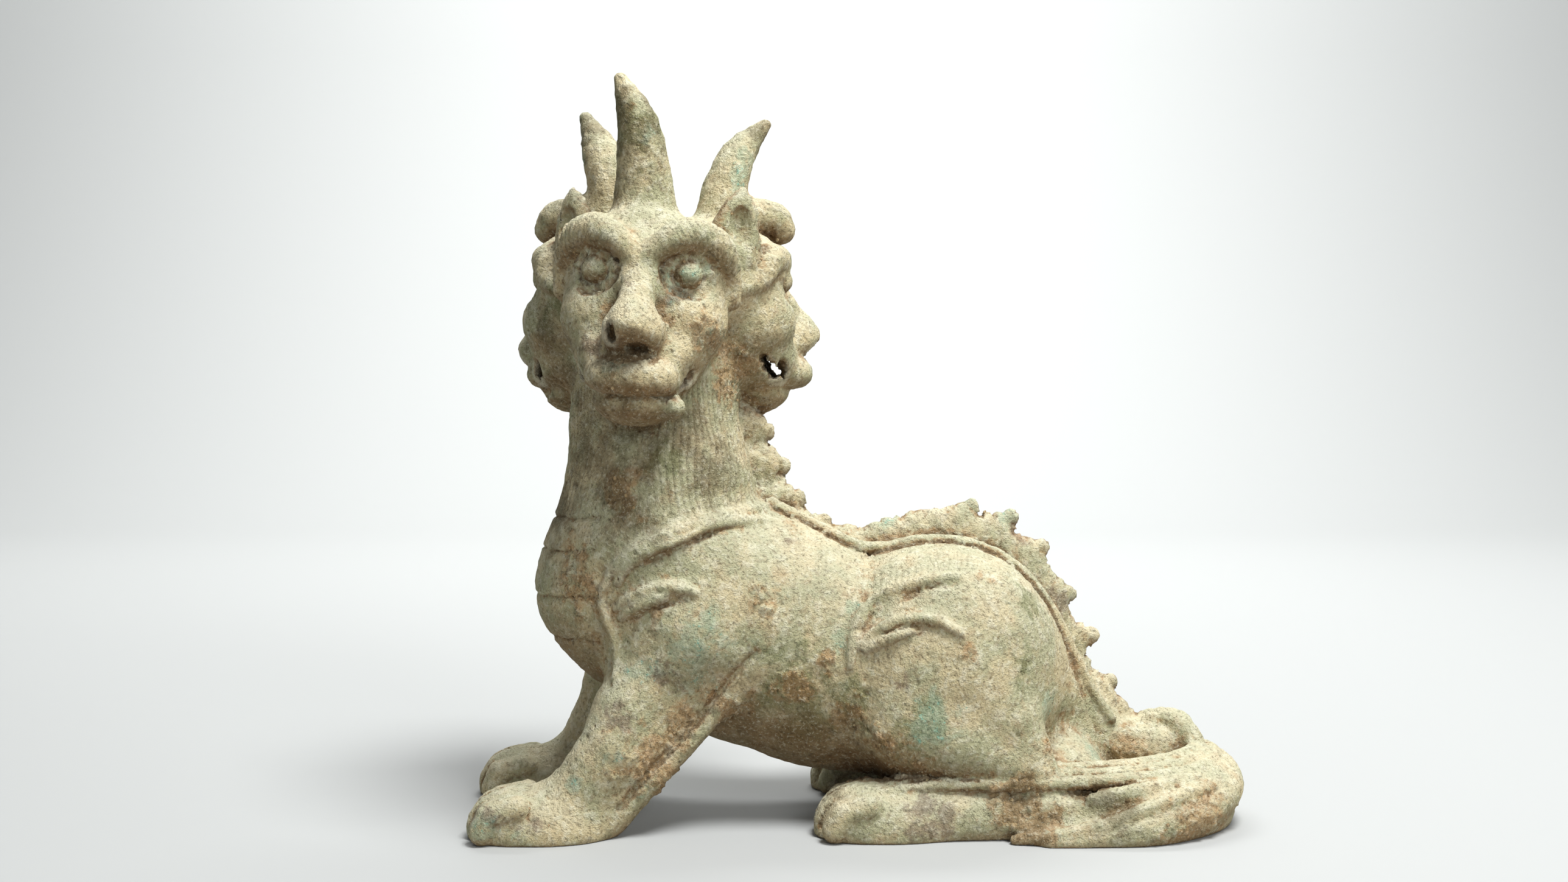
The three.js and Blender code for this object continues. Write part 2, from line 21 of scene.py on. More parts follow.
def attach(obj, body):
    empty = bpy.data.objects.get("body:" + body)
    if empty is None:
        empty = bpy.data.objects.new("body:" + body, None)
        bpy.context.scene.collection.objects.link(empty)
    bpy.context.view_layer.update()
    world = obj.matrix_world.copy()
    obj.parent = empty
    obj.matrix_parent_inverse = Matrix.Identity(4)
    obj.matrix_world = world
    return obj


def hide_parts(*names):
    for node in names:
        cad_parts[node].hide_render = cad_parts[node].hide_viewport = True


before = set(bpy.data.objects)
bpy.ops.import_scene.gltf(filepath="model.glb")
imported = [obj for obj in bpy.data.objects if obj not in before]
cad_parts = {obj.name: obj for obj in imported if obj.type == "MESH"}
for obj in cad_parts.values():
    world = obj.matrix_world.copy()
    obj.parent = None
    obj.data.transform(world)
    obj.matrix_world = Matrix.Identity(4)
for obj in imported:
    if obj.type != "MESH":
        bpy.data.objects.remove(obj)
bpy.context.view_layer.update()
started = time.time()


def report(*made):
    """Prints what was made and how long the script has run."""
    print(*made, "after", round(time.time() - started, 1), "s")


# %% [markdown]
# ## Clay on a grid
#
# A caster models such a beast in wax or clay: lumps are pressed on, hollows are pushed in, and all
# melts together under the thumb. Polygons pulled about by hand do that badly, and metaballs give no say
# over each joint. So the clay here is a field of numbers on a fine grid that says how far each place
# lies outside the surface. Adding a lump takes the smaller of two distances, cutting takes the larger,
# and a blend width rounds the join between them. Sizes are in millimetres until the mesh is made.

# %% The grid
GRID = 0.75  # the step between grid points
FAR = 60.0  # the clay's number where nothing has been added yet
KNOWN = 22.0  # how far round a form its distance is written down
LOW = np.array([-131.0, -81.0, -2.3])
HIGH = np.array([182.0, 61.0, 286.0])
MIDDLE = np.array([25.7, -10.67, 0.0])  # the place in the clay that becomes the frame's origin

counts = np.ceil((HIGH - LOW) / GRID).astype(int)
AXES = [(low + GRID * np.arange(n)).astype(np.float32) for low, n in zip(LOW, counts)]
clay = np.full(counts, FAR, np.float32)
print("grid:", counts, "cells, clay holds", clay.nbytes // 2**20, "MB")


def window(low, high, margin):
    """The part of the grid that holds a box with a margin round it, and its places along X, Y and Z."""
    first = np.clip(np.floor((low - margin - LOW) / GRID).astype(int), 0, counts)
    last = np.clip(np.ceil((high + margin - LOW) / GRID).astype(int) + 1, 0, counts)
    cells = tuple(slice(a, b) for a, b in zip(first, last))
    x, y, z = (axis[c] for axis, c in zip(AXES, cells))
    return cells, (x[:, None, None], y[None, :, None], z[None, None, :])


def blend_in(form, blend, sign):
    """Joins a form to the clay, or cuts it away with sign -1. The blend width rounds the join."""
    cells, away = form(max(blend + 2 * GRID, KNOWN))
    was = sign * clay[cells]
    near = np.maximum(0, blend - np.abs(was - away)) / max(blend, 1e-6)
    clay[cells] = sign * (np.minimum(was, away) - near * near * blend / 4)


def add(form, blend):
    blend_in(form, blend, 1)


def cut(form, blend):
    blend_in(form, blend, -1)


# %% [markdown]
# Two forms make nearly everything: an egg, and a limb, which is a chain of round bones that taper from
# point to point. A limb's points are x, y, z and radius. A place, given as a matrix, sets a form in a
# turned frame, which the heads need.

# %% Eggs and limbs
HERE = Matrix.Identity(4)


def local(xyz, place):
    """Grid places in a form's own frame."""
    if place == HERE:
        return xyz
    inverse = place.inverted()
    x, y, z = xyz
    return [row[0] * x + row[1] * y + row[2] * z + row[3] for row in inverse[:3]]


def egg(centre, radii, lean=0, place=HERE):
    """An ellipsoid, turned about Y by an angle in degrees."""
    own = place @ Matrix.Translation(centre) @ Matrix.Rotation(math.radians(lean), 4, "Y")
    signs = itertools.product((-1, 1), repeat=3)
    corners = np.array([own @ Vector(np.multiply(radii, sign)) for sign in signs])

    def made(margin):
        cells, xyz = window(corners.min(axis=0), corners.max(axis=0), margin)
        x, y, z = local(xyz, own)
        rx, ry, rz = radii
        nearer = np.sqrt((x / rx) ** 2 + (y / ry) ** 2 + (z / rz) ** 2)
        slope = np.sqrt((x / rx**2) ** 2 + (y / ry**2) ** 2 + (z / rz**2) ** 2)
        return cells, nearer * (nearer - 1) / np.maximum(slope, 1e-6)

    return made


def limb(points, squash=(1, 1, 1), place=HERE):
    """A chain of tapering bones, narrowed along each axis by a squash factor."""
    points = [tuple(map(float, p)) for p in points]

    def box(some):
        corners = np.array([place @ Vector(p[:3]) for p in some])
        radius = max(p[3] for p in some) * max(squash)
        return corners.min(axis=0) - radius, corners.max(axis=0) + radius

    def made(margin):
        cells, _ = window(*box(points), margin)
        away = np.full([c.stop - c.start for c in cells], FAR, np.float32)
        for start, end in zip(points, points[1:]):
            part, xyz = window(*box([start, end]), margin)
            p = [c / s - a / s for c, a, s in zip(local(xyz, place), start, squash)]
            d = [(b - a) / s for a, b, s in zip(start, end, squash)]
            t = sum(a * b for a, b in zip(p, d)) / sum(b * b for b in d)
            t = np.clip(t, 0, 1)
            bone = np.sqrt(sum((a - t * b) ** 2 for a, b in zip(p, d)))
            bone = bone - start[3] - t * (end[3] - start[3])
            inner = tuple(slice(a.start - c.start, a.stop - c.start) for a, c in zip(part, cells))
            away[inner] = np.minimum(away[inner], bone * min(squash))
        return cells, away

    return made


def smooth(points, steps):
    """Points of a smooth curve, a centripetal Catmull-Rom one, through a few given ones."""
    p = np.array(points, float)
    p = np.vstack([2 * p[0] - p[1], p, 2 * p[-1] - p[-2]])
    t = np.linspace(0, len(points) - 1, steps + 1)
    k = np.minimum(t.astype(int), len(points) - 2)
    t = (t - k)[:, None]
    a, b, c, d = (p[k + i] for i in range(4))

    def gap(u, v):
        return np.maximum(np.sqrt(np.linalg.norm((v - u)[:, :3], axis=1)), 1e-4)[:, None]

    ab, bc, cd = gap(a, b), gap(b, c), gap(c, d)
    leave = ((b - a) / ab - (c - a) / (ab + bc) + (c - b) / bc) * bc
    arrive = ((c - b) / bc - (d - b) / (bc + cd) + (d - c) / cd) * bc
    bend, twist = 3 * (c - b) - 2 * leave - arrive, 2 * (b - c) + leave + arrive
    return b + leave * t + bend * t**2 + twist * t**3


print("forms ready: egg, limb, and a smooth curve through points")

# %% [markdown]
# Cords and folds lie on the body, so their points are pressed onto the clay that is already there: each
# one travels along a direction until it meets the surface. The clay's value between grid points is read
# by linear interpolation, which is wanted again later for normals and for finding hollows.

# %% Reading the clay
def sample(places):
    """The clay's value at any places."""
    p = (places - LOW) / GRID
    corner = np.clip(np.floor(p).astype(int), 0, counts - 2)
    share = p - corner
    total = 0
    for step in itertools.product((0, 1), repeat=3):
        weight = np.prod(np.where(step, share, 1 - share), axis=-1)
        at = corner + step
        total = total + weight * clay[at[..., 0], at[..., 1], at[..., 2]]
    return total


def pressed(points, directions, reach):
    """Where each point first meets the clay on its way along its direction."""
    steps = np.arange(0, reach, GRID / 3)
    ways = points[:, None] + directions[:, None] * steps[:, None]
    first = (sample(ways) < 0.1).argmax(axis=1)
    return ways[np.arange(len(points)), first]


BESIDE = 60  # how far out a point starts before it is pressed onto a flank
FOLD_STEPS = 14


def on_both_flanks(line):
    """The points of a line, given in side view as x, z, pressed onto both flanks."""
    points = smooth([(x, 0, z) for x, z in line], FOLD_STEPS)
    for side in (-1, 1):
        out = points + [0, side * BESIDE, 0]
        yield pressed(out, np.broadcast_to([0.0, -side, 0.0], out.shape), BESIDE)


print("before anything is added the clay reads", float(sample(np.zeros((1, 3)))[0]))

# %% [markdown]
# ## Body and legs
#
# The trunk is one thick limb bent like a crouching cat's back, squashed from side to side. The neck
# stands on it as a column. The forelegs are braced ahead with a thin web behind each, and the haunches
# are two big eggs with the lower leg folded under them. All four paws are flat beneath, with four toes
# and the creases between them.

# %% Trunk and neck
NECK = Vector((-50.5, 0, 0))
NECK_RADIUS = 33
TRUNK = [
    (-50.5, 87, 41.5), (-28, 78, 45), (-11, 72.5, 46), (3, 67, 45), (14, 61.5, 44), (27, 57.5, 42),
    (42, 58, 43.5), (60, 59, 48), (76, 58, 33),
]


def middle(x):
    """How far the body's middle line has strayed to the far side at x."""
    return 0.05 * x


def trunk():
    add(limb(smooth([(x, middle(x), z, r) for x, z, r in TRUNK], 24), (1, 0.8, 1)), 0)
    add(egg((91, middle(91), 42), (18, 25, 30), 15), 11)
    add(egg((-69, middle(-69), 89), (26.5, 29, 25)), 8)
    column = [(0, 188, -3), (0, 150, 0), (2, 127, 3.5), (1, 108, 8)]
    add(limb([(NECK.x + back, NECK.y, z, NECK_RADIUS + wider) for back, z, wider in column]), 9)


trunk()
report("trunk and neck")

# %% Paws and legs
STANCE = {"near": -37, "far": 28}
HIND = {"near": -34, "far": 37}
PAW_LENGTH, PAW_WIDTH, PAW_HEIGHT = 54, 31, 18.5
TOES = (-1.5, -0.5, 0.5, 1.5)
CREASES = (-1, 0, 1)


def paw(x, y):
    """A flat paw with its toes towards -X, each so many quarters of its width from the middle."""
    add(egg((x, y, 3), (PAW_LENGTH / 2, PAW_WIDTH / 2, PAW_HEIGHT - 3)), 5)
    add(egg((x - PAW_LENGTH * 0.2, y, 6), (PAW_LENGTH * 0.27, PAW_WIDTH * 0.48, PAW_HEIGHT - 6)), 4)
    for toe in TOES:
        aside = y + toe / 4 * PAW_WIDTH
        reach = PAW_LENGTH * (0.41 - 0.035 * abs(toe))
        root, knuckle = (x - reach * 0.35, aside, 13, 5), (x - reach * 0.85, aside, 10.5, 5.3)
        add(limb([root, knuckle, (x - reach, aside, 4.5, 5)]), 1)
    front = x - PAW_LENGTH * 0.47
    for crease in CREASES:
        aside = y + crease / 4 * PAW_WIDTH
        top, bend = (front + 12, aside, 18.5, 0.8), (front + 4, aside, 14, 1.6)
        cut(limb([top, bend, (front, aside, 4, 2)]), 1.2)


def forelegs():
    for side, y, ahead in ((-1, STANCE["near"], 0), (1, STANCE["far"], -11)):
        hip = side * 27
        add(egg((-34, side * 21, 82), (34, 21, 38), -12), 8)
        leg = [(-36, hip, 75, 20), (-47 + ahead * 0.8, hip, 60, 16), (-57.5 + ahead, y * 0.9, 47, 13)]
        leg += [(-63.5 + ahead * 0.9, y, 33, 12), (-74 + ahead * 0.7, y, 19, 11)]
        leg += [(-86 + ahead * 0.7, y, 10, 9)]
        add(limb(leg, (1, 0.9, 1)), 8)
        web = [(-28, hip, 62, 9), (-44 + ahead / 2, y * 0.9, 43, 8), (-56 + ahead, y, 27, 8)]
        add(limb([*web, (-66 + ahead, y, 13, 9)], (1, 0.7, 1)), 6)
        edge = [(-12, hip, 64, 4.5), (-31 + ahead / 2, y * 0.9, 39, 4), (-47 + ahead, y, 22.5, 4)]
        add(limb([*edge, (-63 + ahead, y, 6, 5)]), 5)
        paw(-90 + ahead * 0.7, y)


def haunches():
    for side, y in ((-1, HIND["near"]), (1, HIND["far"])):
        add(egg((61, y - side * 12, 58), (34, 20, 39), 12), 20)
        add(limb([(46, y - side * 6, 40, 15), (66, y - side * 3, 34, 15), (90, y, 24, 9)]), 8)
        shin = [(70, y - side * 8, 56, 18), (84, y - side * 3, 42, 12), (94, y, 25, 7), (100, y, 14, 7)]
        add(limb(shin), 5)
        add(limb([(100, y - side, 7, 11), (62, y, 7, 12.5), (34, y, 7, 11)]), 5)
        paw(38, y)


forelegs()
haunches()
report("legs")

# %% [markdown]
# ## Lines on the flanks
#
# Wing-like folds sweep back from the chest over each shoulder and up over each haunch. On the bronze
# they are soft double ridges, each with a sharper groove along its lower side, as a modelling tool
# leaves them. A ridge is a thin limb that fades at its ends, and a groove is such a limb cut away. One
# more groove runs along the web of the near foreleg.

# %% Folds
RIDGE, GROOVE, WEB_GROOVE = 2.15, 0.9, 1.3
RIDGES = [
    [
        (-6, 119.8), (-19, 118.8), (-28.6, 117), (-36, 114.4), (-43.4, 111.5), (-51, 108.5),
        (-58.5, 104), (-63.5, 98), (-67, 90),
    ],
    [
        (-8, 115.9), (-19, 116), (-27, 115), (-33, 112.8), (-39, 110), (-46, 107.5), (-52, 104.5),
        (-58, 99.5), (-61, 94),
    ],
    [(-62, 84.5), (-57, 88.5), (-51, 91.3), (-44.6, 92.8), (-36, 92.4), (-32, 91)],
    [(-60, 81), (-54.3, 85), (-48.6, 88), (-43, 89.8)],
    [(24.5, 63), (25.7, 73.6), (29.4, 82), (37.2, 89.2), (47, 93), (57, 95.3), (65, 96)],
    [(28, 71), (32, 74.8), (37.2, 77.8), (44.7, 80.9), (52.4, 81.3), (60, 78.9), (65, 76)],
    [(30, 69.3), (37.2, 72.8), (42.5, 75.1), (47, 77)],
    [(-67, 88), (-65.3, 80.5), (-62.5, 74.5), (-61.5, 66), (-62.5, 58)],
]
GROOVES = [
    [(-30, 115.6), (-37, 112.4), (-46, 109.6)],
    [
        (-13, 113.4), (-21.7, 112.9), (-27.4, 111.8), (-33.2, 109.8), (-39, 107.3), (-47.4, 103.5),
        (-56, 99),
    ],
    [(-34.5, 90.2), (-39, 88.3), (-43.4, 86.5), (-49.7, 84), (-56.6, 80)],
    [(34, 79.5), (41, 85.5), (47, 89.3), (55.5, 92), (64, 93)],
    [(36, 75.2), (43, 78), (48, 78.7)],
    [(40, 71.8), (45, 74.5), (50, 76.8), (56, 76.8)],
]
WEB = [(-10, 68), (-20, 58), (-33, 41.5), (-49, 25), (-60, 12)]
faded = np.sin(np.linspace(0.12, math.pi - 0.12, FOLD_STEPS + 1))

for fold in RIDGES:
    for lying in on_both_flanks(fold):
        lifted = lying + [0, 0.7 * np.sign(lying[FOLD_STEPS // 2, 1]), 0]
        add(limb([(*p, r) for p, r in zip(lifted, RIDGE * faded**0.45)]), 2.2)
for fold in GROOVES:
    for lying in on_both_flanks(fold):
        cut(limb([(*p, r) for p, r in zip(lying, GROOVE * faded**0.6)]), 1)
near_side = next(on_both_flanks(WEB))
cut(limb([(*p, WEB_GROOVE) for p in near_side]), 1.5)
report("ridges and grooves:", len(RIDGES), len(GROOVES))

# %% [markdown]
# ## Tail
#
# The tail leaves the rump, bends round at the back and comes forward along the near side. It is a sheaf
# of thin strands: the inner ones lie on top of the hind foot, the outer rim sinks to the ground, and
# the side between them is hollow. A scroll stands up at the bend, and a broad low bed closes the
# casting beneath.

# %% Lines of the tail
BED = [
    (154, 14, 7, 12), (161, -6, 6, 13), (155, -22, 6, 13.5), (136, -37, 6, 13), (112, -41, 5, 11),
    (94, -41, 4, 9),
]
INNER = [
    (129, 10, 28, 4), (146, 12, 25, 4.5), (157, 9, 24, 4.5), (160, -4, 24, 4.5),
    (150, -17.5, 23.5, 4.5), (132, -26, 22.5, 4.2), (105, -29.5, 21.8, 4), (78, -31, 21.4, 3.6),
    (57, -32, 20.4, 3), (42, -34, 19, 2),
]
OUTER = [
    (142, 19, 23, 4.5), (160, 15, 23, 4.5), (168, 0, 22, 4.5), (161.5, -20, 21.5, 4.5),
    (145, -33, 20.4, 4.4), (125, -39, 20, 4.2), (98, -41, 19.3, 3.9), (72, -41.5, 18.8, 3.4),
    (50, -40.5, 18, 2.6), (36, -41, 16, 1.6),
]
LEAST = [
    (150, 20, 19, 4), (162, 15, 20.5, 4), (170.5, 1, 20.5, 4), (167, -17, 20, 4), (156, -30.5, 19.5, 4),
    (140, -39.5, 19, 3.8), (126, -44, 17.8, 3.4), (112, -45.5, 15.5, 2.4),
]
RIM = [
    (152, 20, 14, 7), (167, 6, 16, 7.5), (168.5, -14, 15, 7.5), (162, -28, 12, 7.5),
    (148, -38.5, 8.5, 7.5), (132, -45, 5, 7.5), (114, -47, 3, 6.5), (97, -47.5, 1, 6),
]
LIP = [
    (160, 19.5, 15, 4), (172.5, 4, 17.5, 4), (171, -13, 18, 4.2), (162, -28.5, 17.4, 4.2),
    (149, -40.5, 17.2, 3.8), (134, -47.2, 13.6, 3.6), (117, -50, 7.6, 3.4), (98, -50, 3.5, 3),
    (84, -48, 1.5, 2.5),
]
HOLLOW = [
    (60, -51, 12, 3.5), (75, -52, 11.5, 6), (92, -53, 11.5, 7.6), (108, -54, 12.5, 7.8),
    (122, -53, 14, 6), (135, -50, 16, 3.6),
]
SCROLL = [(137, 8, 31, 4), (147, 7, 33.5, 5.2), (155, 6, 32.5, 6), (160, 2, 27, 5)]
print("the tail reaches x =", max(x + r for x, _, _, r in LEAST + RIM + LIP), "mm")

# %% Tail
STRANDS = (0, 0.5, 1)  # shares of the way from the inner line to the outer one


def tail():
    add(limb([(108, 8, 44, 15), (124, 9, 27, 13), (140, 12, 19, 12), (154, 12, 15, 11)]), 10)
    add(limb(smooth(BED, 24)), 6)
    add(egg((124, -12, 4), (40, 27, 13)), 5)
    add(egg((142, 4, 22), (18, 9, 12)), 5)
    add(egg((106, -8, 14), (18, 22, 19)), 8)
    inner, outer, least = smooth(INNER, 36), smooth(OUTER, 36), smooth(LEAST, 30)
    add(limb((inner + outer) / 2 - [0, 0, 2.2, 0]), 4)
    add(limb(smooth(RIM, 30)), 3)
    add(limb(least - [0, 0, 2.5, 0]), 3)
    cut(limb(smooth(HOLLOW, 12)), 2.5)
    for share in STRANDS:
        strand = inner + (outer - inner) * share
        strand[:, 3] *= 0.64
        add(limb(strand + [0, 0, 1.3, 0]), 0.9)
    add(limb(least * [1, 1, 1, 0.75] + [0, 0, 0.6, 0]), 0.8)
    add(limb(smooth(LIP, 30) * [1, 1, 1, 0.8]), 1)
    add(limb(smooth(SCROLL, 8)), 2)
    cut(egg((149, -0.5, 34), (2.2, 3.2, 2.2)), 1.5)


tail()
report("tail")

# %% [markdown]
# ## Crest
#
# Worn teeth stand on the middle of the back and lean towards the tail. A round cord runs along the foot
# of the crest on both sides, with a groove outside it. Its points start off the surface, beside the
# spine, and are pressed in along the spine's own outward direction, so that the cord follows every
# swell of the back.

# %% Spine
SPINE = [
    (-19, 150), (-10, 126), (1, 110.5), (12, 103), (27, 99.7), (46, 104), (61, 108), (76, 105),
    (89, 97), (100, 84), (107, 63), (116, 46), (129, 34),
]
TEETH = [
    (-4.5, 148), (1.7, 135), (7.4, 123), (16.6, 114.5), (26, 110.5), (40.5, 113), (55, 116), (75, 121),
    (91.5, 116.5), (104.5, 104), (115.5, 84), (125, 68), (131.5, 50),
]
spine = smooth([(x, 0, z) for x, z in SPINE], 80)
along = np.gradient(spine, axis=0)
along /= np.linalg.norm(along, axis=1, keepdims=True)
outward = np.stack([-along[:, 2], np.zeros(len(along)), along[:, 0]], axis=1)
print("the spine has", len(spine), "points")

# %% Crest
CORD_ASIDE, CORD_RADIUS, CORD_LIFT = 11, 2.1, 0.7
GROOVE_ASIDE, GROOVE_RADIUS = 14.2, 1


def across(x):
    """The crest's sideways place, a little to the far side where it climbs the neck."""
    return np.interp(x, [-19, 20], [12, 3]) + middle(x)


def evened(line):
    """The points of a line, each moved to the mean of its neighbours until the kinks are gone."""
    for _ in range(12):
        line = np.vstack([line[:1], (line[:-2] + 2 * line[1:-1] + line[2:]) / 4, line[-1:]])
    return line


def crest():
    line = spine + np.stack([0 * spine[:, 0], across(spine[:, 0]), 0 * spine[:, 0]], axis=1)
    cord = (CORD_ASIDE, CORD_RADIUS, CORD_LIFT, add)
    groove = (GROOVE_ASIDE, GROOVE_RADIUS, 0, cut)
    for side in (-1, 1):
        for aside, radius, lift, mix in (cord, groove):
            start = (line + 14 * outward + [0, side * aside, 0])[9:]
            lying = evened(pressed(start, -outward[9:], 40))
            mix(limb([(*p, radius) for p in (lying + lift * outward[9:])[::2]]), 0.8)
    add(limb([(*p, 9) for p in (line + outward)[::4]], (1, 0.6, 1)), 2)
    for x, z in TEETH:
        nearest = max(0, np.hypot(spine[:, 0] - x, spine[:, 2] - z).argmin() - 2)
        root = np.array([spine[nearest, 0], across(x), spine[nearest, 2]])
        tip = np.array([x, across(x), z])
        tooth = [(*(root + (tip - root) * t), r) for t, r in ((-0.2, 11), (0.4, 7), (0.86, 3))]
        add(limb(tooth, (1, 0.6, 1)), 1.2)


crest()
report(len(TEETH), "teeth on the crest")

# %% [markdown]
# ## Heads
#
# All three heads are one head, made three times in a frame of its own: X to the nose, Y to its left, Z
# up, with the neck's axis at the origin. Each has heavy brows, ringed ball eyes, a blunt nose, a long
# upper lip over a small chin, and a tuft before its horn. Small numbers tell the three apart: how far
# the chin drops, and how far the nose, lip and eyes are drawn back. The ears stand in the corners
# between the heads, and the open mouth of one head lets the light through.

# %% What tells the heads apart
HORNS = {
    "front": [(28, -2, 224, 13), (30, -3.9, 246, 10), (33, -7, 264, 7.3), (34, -13.4, 278, 2.6)],
    "right": [(27, 0, 226, 10.5), (31, 0, 245, 8.8), (37, 0, 259, 6.8), (48.5, 0, 271, 2.6)],
    "left": [(23, 0, 226, 11.5), (24, 0, 245, 9.5), (29, 0, 259, 7.5), (36.5, 0, 273, 2.6)],
}
CURLED = [(32, 0, 233, 10.5), (44, 0, 234, 7.6), (52, 0, 233.5, 7), (55.5, 0, 229.5, 6)]
FLAT = [(36, -10, 224, 5), (39, -5, 226, 5), (39, 3, 225.5, 4.5), (36, 9, 223.5, 4.5)]
DOWN = [(31, 30, 209.5, 5), (29, 31, 200, 4)]
BACK = [(31, 29.5, 207, 4.5), (19, 32, 202.5, 3.2)]
WORN = [(66.5, -7, 184.5, 2.4, 3.9), (64.5, 1.8, 179.6, 4.4, 2.6)]
EVEN = [(67, -5.5, 182, 2.8, 2.6), (67, 5.5, 182, 2.8, 2.6)]
PLAIN = dict(roll=0, back=0, drop=0, snout=0, lip=0, sag=0, sunk=0)
SISTER = PLAIN | dict(tuft=CURLED, arch=0.4, brow_end=BACK, nostrils=EVEN)
NEAR = PLAIN | dict(tuft=FLAT, arch=1, brow_end=DOWN, nostrils=WORN, roll=-3.5, drop=5)
HEADS = [
    NEAR | dict(angle=-92, horn="front"),
    SISTER | dict(angle=28, horn="right", lip=1),
    SISTER | dict(angle=148, horn="left", back=3, snout=3, lip=7, sag=5.5, sunk=3.5),
]
NOSE_HEIGHT = 190
EYE = (46, 16.5, 207.8)
EYE_TURN = 24


def head_place(angle, roll=0, back=0):
    """Turned about the neck, rolled at the height of the nose and drawn back towards the neck."""
    return (
        Matrix.Translation(NECK)
        @ Matrix.Rotation(math.radians(angle), 4, "Z")
        @ Matrix.Translation((-back, 0, NOSE_HEIGHT))
        @ Matrix.Rotation(math.radians(roll), 4, "X")
        @ Matrix.Translation((0, 0, -NOSE_HEIGHT))
    )


print(len(HEADS), "heads, turned to", [one["angle"] for one in HEADS], "degrees")


# %% Eye
def eye(place):
    """One eye in a frame of its own, X out: a wide socket, a rough ring of lids and a round ball."""
    cut(egg((6.8, 0, 0.5), (11.5, 13, 11), place=place), 0.8)
    turns = np.linspace(0, 2 * math.pi, 17)
    ring = [(-0.6, 7.9 * math.cos(a), 6.8 * math.sin(a) - 0.9, 1.8) for a in turns]
    add(limb(ring, place=place), 1.5)
    for turn in (0.2, 1.1, 1.9, 2.9, 3.8, 4.4, 5.3):
        clod = (0.3, 8.2 * math.cos(turn), 7.2 * math.sin(turn) - 0.9)
        add(egg(clod, (1.7, 1.9 + 0.4 * math.sin(5 * turn), 1.6), place=place), 1)
    cut(egg((4.5, 0, 8.6), (8, 10.5, 2.8), place=place), 1)
    add(egg((-0.1, 0, -0.3), (5.8, 5.3, 5.1), place=place), 1.8)


# %% Head
def head(place, horn, tuft, arch, brow_end, nostrils, drop, snout, lip, sag, sunk):
    """The brows arch, the chin drops, the nose sags, and the snout, lip and eyes are drawn back."""

    def on(form, blend, *numbers, **words):
        add(form(*numbers, place=place, **words), blend)

    def off(form, blend, *numbers, **words):
        cut(form(*numbers, place=place, **words), blend)

    # Skull and cheeks, then the brows, which overhang the sockets.
    on(egg, 10, (24, 0, 206), (31, 31, 26))
    on(egg, 8, (32, 0, 181), (25, 24, 18))
    for s in (-1, 1):
        on(egg, 6, (34, s * 17, 191), (18, 13.5, 14))
    on(limb, 4, [(46, 0, 215, 6), (50.5, 0, 207, 4.6), (56, 0, 199 - sag * 0.6, 5)])
    for s in (-1, 1):
        x, y, z = EYE
        outward_turn = Matrix.Rotation(math.radians(s * EYE_TURN), 4, "Z")
        eye(place @ Matrix.Translation((x - sunk, s * y, z)) @ outward_turn)
        on(egg, 5, (36, s * 13, 211 + 8 * arch), (13, 13, 8.5))
        brow = [(52, 3.5, 2, 3.8), (51, 10, 8, 5.4), (46.5, 17.5, 10.5, 6.4), (39, 25.5, 7, 6.4)]
        behind = sunk + 4 * (1 - arch)
        brow = [(x - behind, s * y, 211 + up * arch, r) for x, y, up, r in brow]
        brow += [(x, s * y, z, r) for x, y, z, r in brow_end]
        on(limb, 1.5, smooth(brow, 14))
    # The nose: a broad wedge with wings, cut off in front by a face that slopes back to the lip.
    on(limb, 4, [(55, 0, 201 - sag * 0.6, 4.8), (61 - snout, 0, 191.5 - sag, 7.5)])
    on(egg, 3, (61 - snout, 0, 187 - sag), (12, 10, 8))
    for s in (-1, 1):
        on(egg, 2.5, (59 - snout, s * 6.5, 185 - sag), (9, 4.6, 6))
    off(egg, 0.8, (81 - snout, 0, 173.5 - sag), (15, 26, 15))
    # The upper lip, a blunt square block under the nose, with the chin drawn back beneath it.
    on(egg, 6, (44 - lip, 0, 177 - drop * 0.4), (17, 16.5, 11))
    for s in (-1, 1):
        on(egg, 5, (40 - lip, s * 14.5, 177), (15, 8, 10))
    roll = [(44, 12.5, 5), (55, 11.8, 5.6), (60, 8, 6.2), (61.5, 0, 6.4)]
    roll += [(x, -y, r) for x, y, r in roll[-2::-1]]
    on(limb, 3, [(x - lip, y, 171.5 - drop * 0.4, r) for x, y, r in roll])
    on(egg, 2.5, (44 - lip * 0.5, 0, 165 - drop * 0.8), (14, 15.5, 9.5))
    for x, y, z, wide, tall in nostrils:
        off(egg, 0.8, (x - snout, y, z - sag * 0.8), (5, wide, tall))
    # At each corner of the mouth a lug, a curl of the lower lip and a dark slit above the curl.
    low = drop * 0.4
    for s in (-1, 1):
        on(egg, 3, (44 - lip, s * 18.5, 172 - low), (4.5, 3.2, 3.4))
        slit = [(50.5, 16.2, 164.8, 2.2), (56, 12.2, 163, 2.4), (59, 8.5, 161.4, 1.2)]
        off(limb, 0.5, [(x - lip, s * y, z - low, r) for x, y, z, r in slit])
    if tuft is FLAT:
        off(egg, 5, (58, 25, 168 - low), (16, 7.5, 13))
        on(egg, 2.5, (50.5, 15, 161.3 - low), (4.6, 4, 3.9))
        off(limb, 1.2, [(39, -11, 230, 1.4), (41.5, -2, 231, 1.6), (39, 8, 229.5, 1.2)])
    off(egg, 1, (45.5, 0, 173 - drop * 0.6), (3, 40, 4.8), lean=-28)
    on(limb, 4, smooth(HORNS[horn], 8))
    on(limb, 4, smooth(tuft, 8))
    if tuft is CURLED:
        off(egg, 2, (47, 0, 222.5), (5, 9, 3.5))


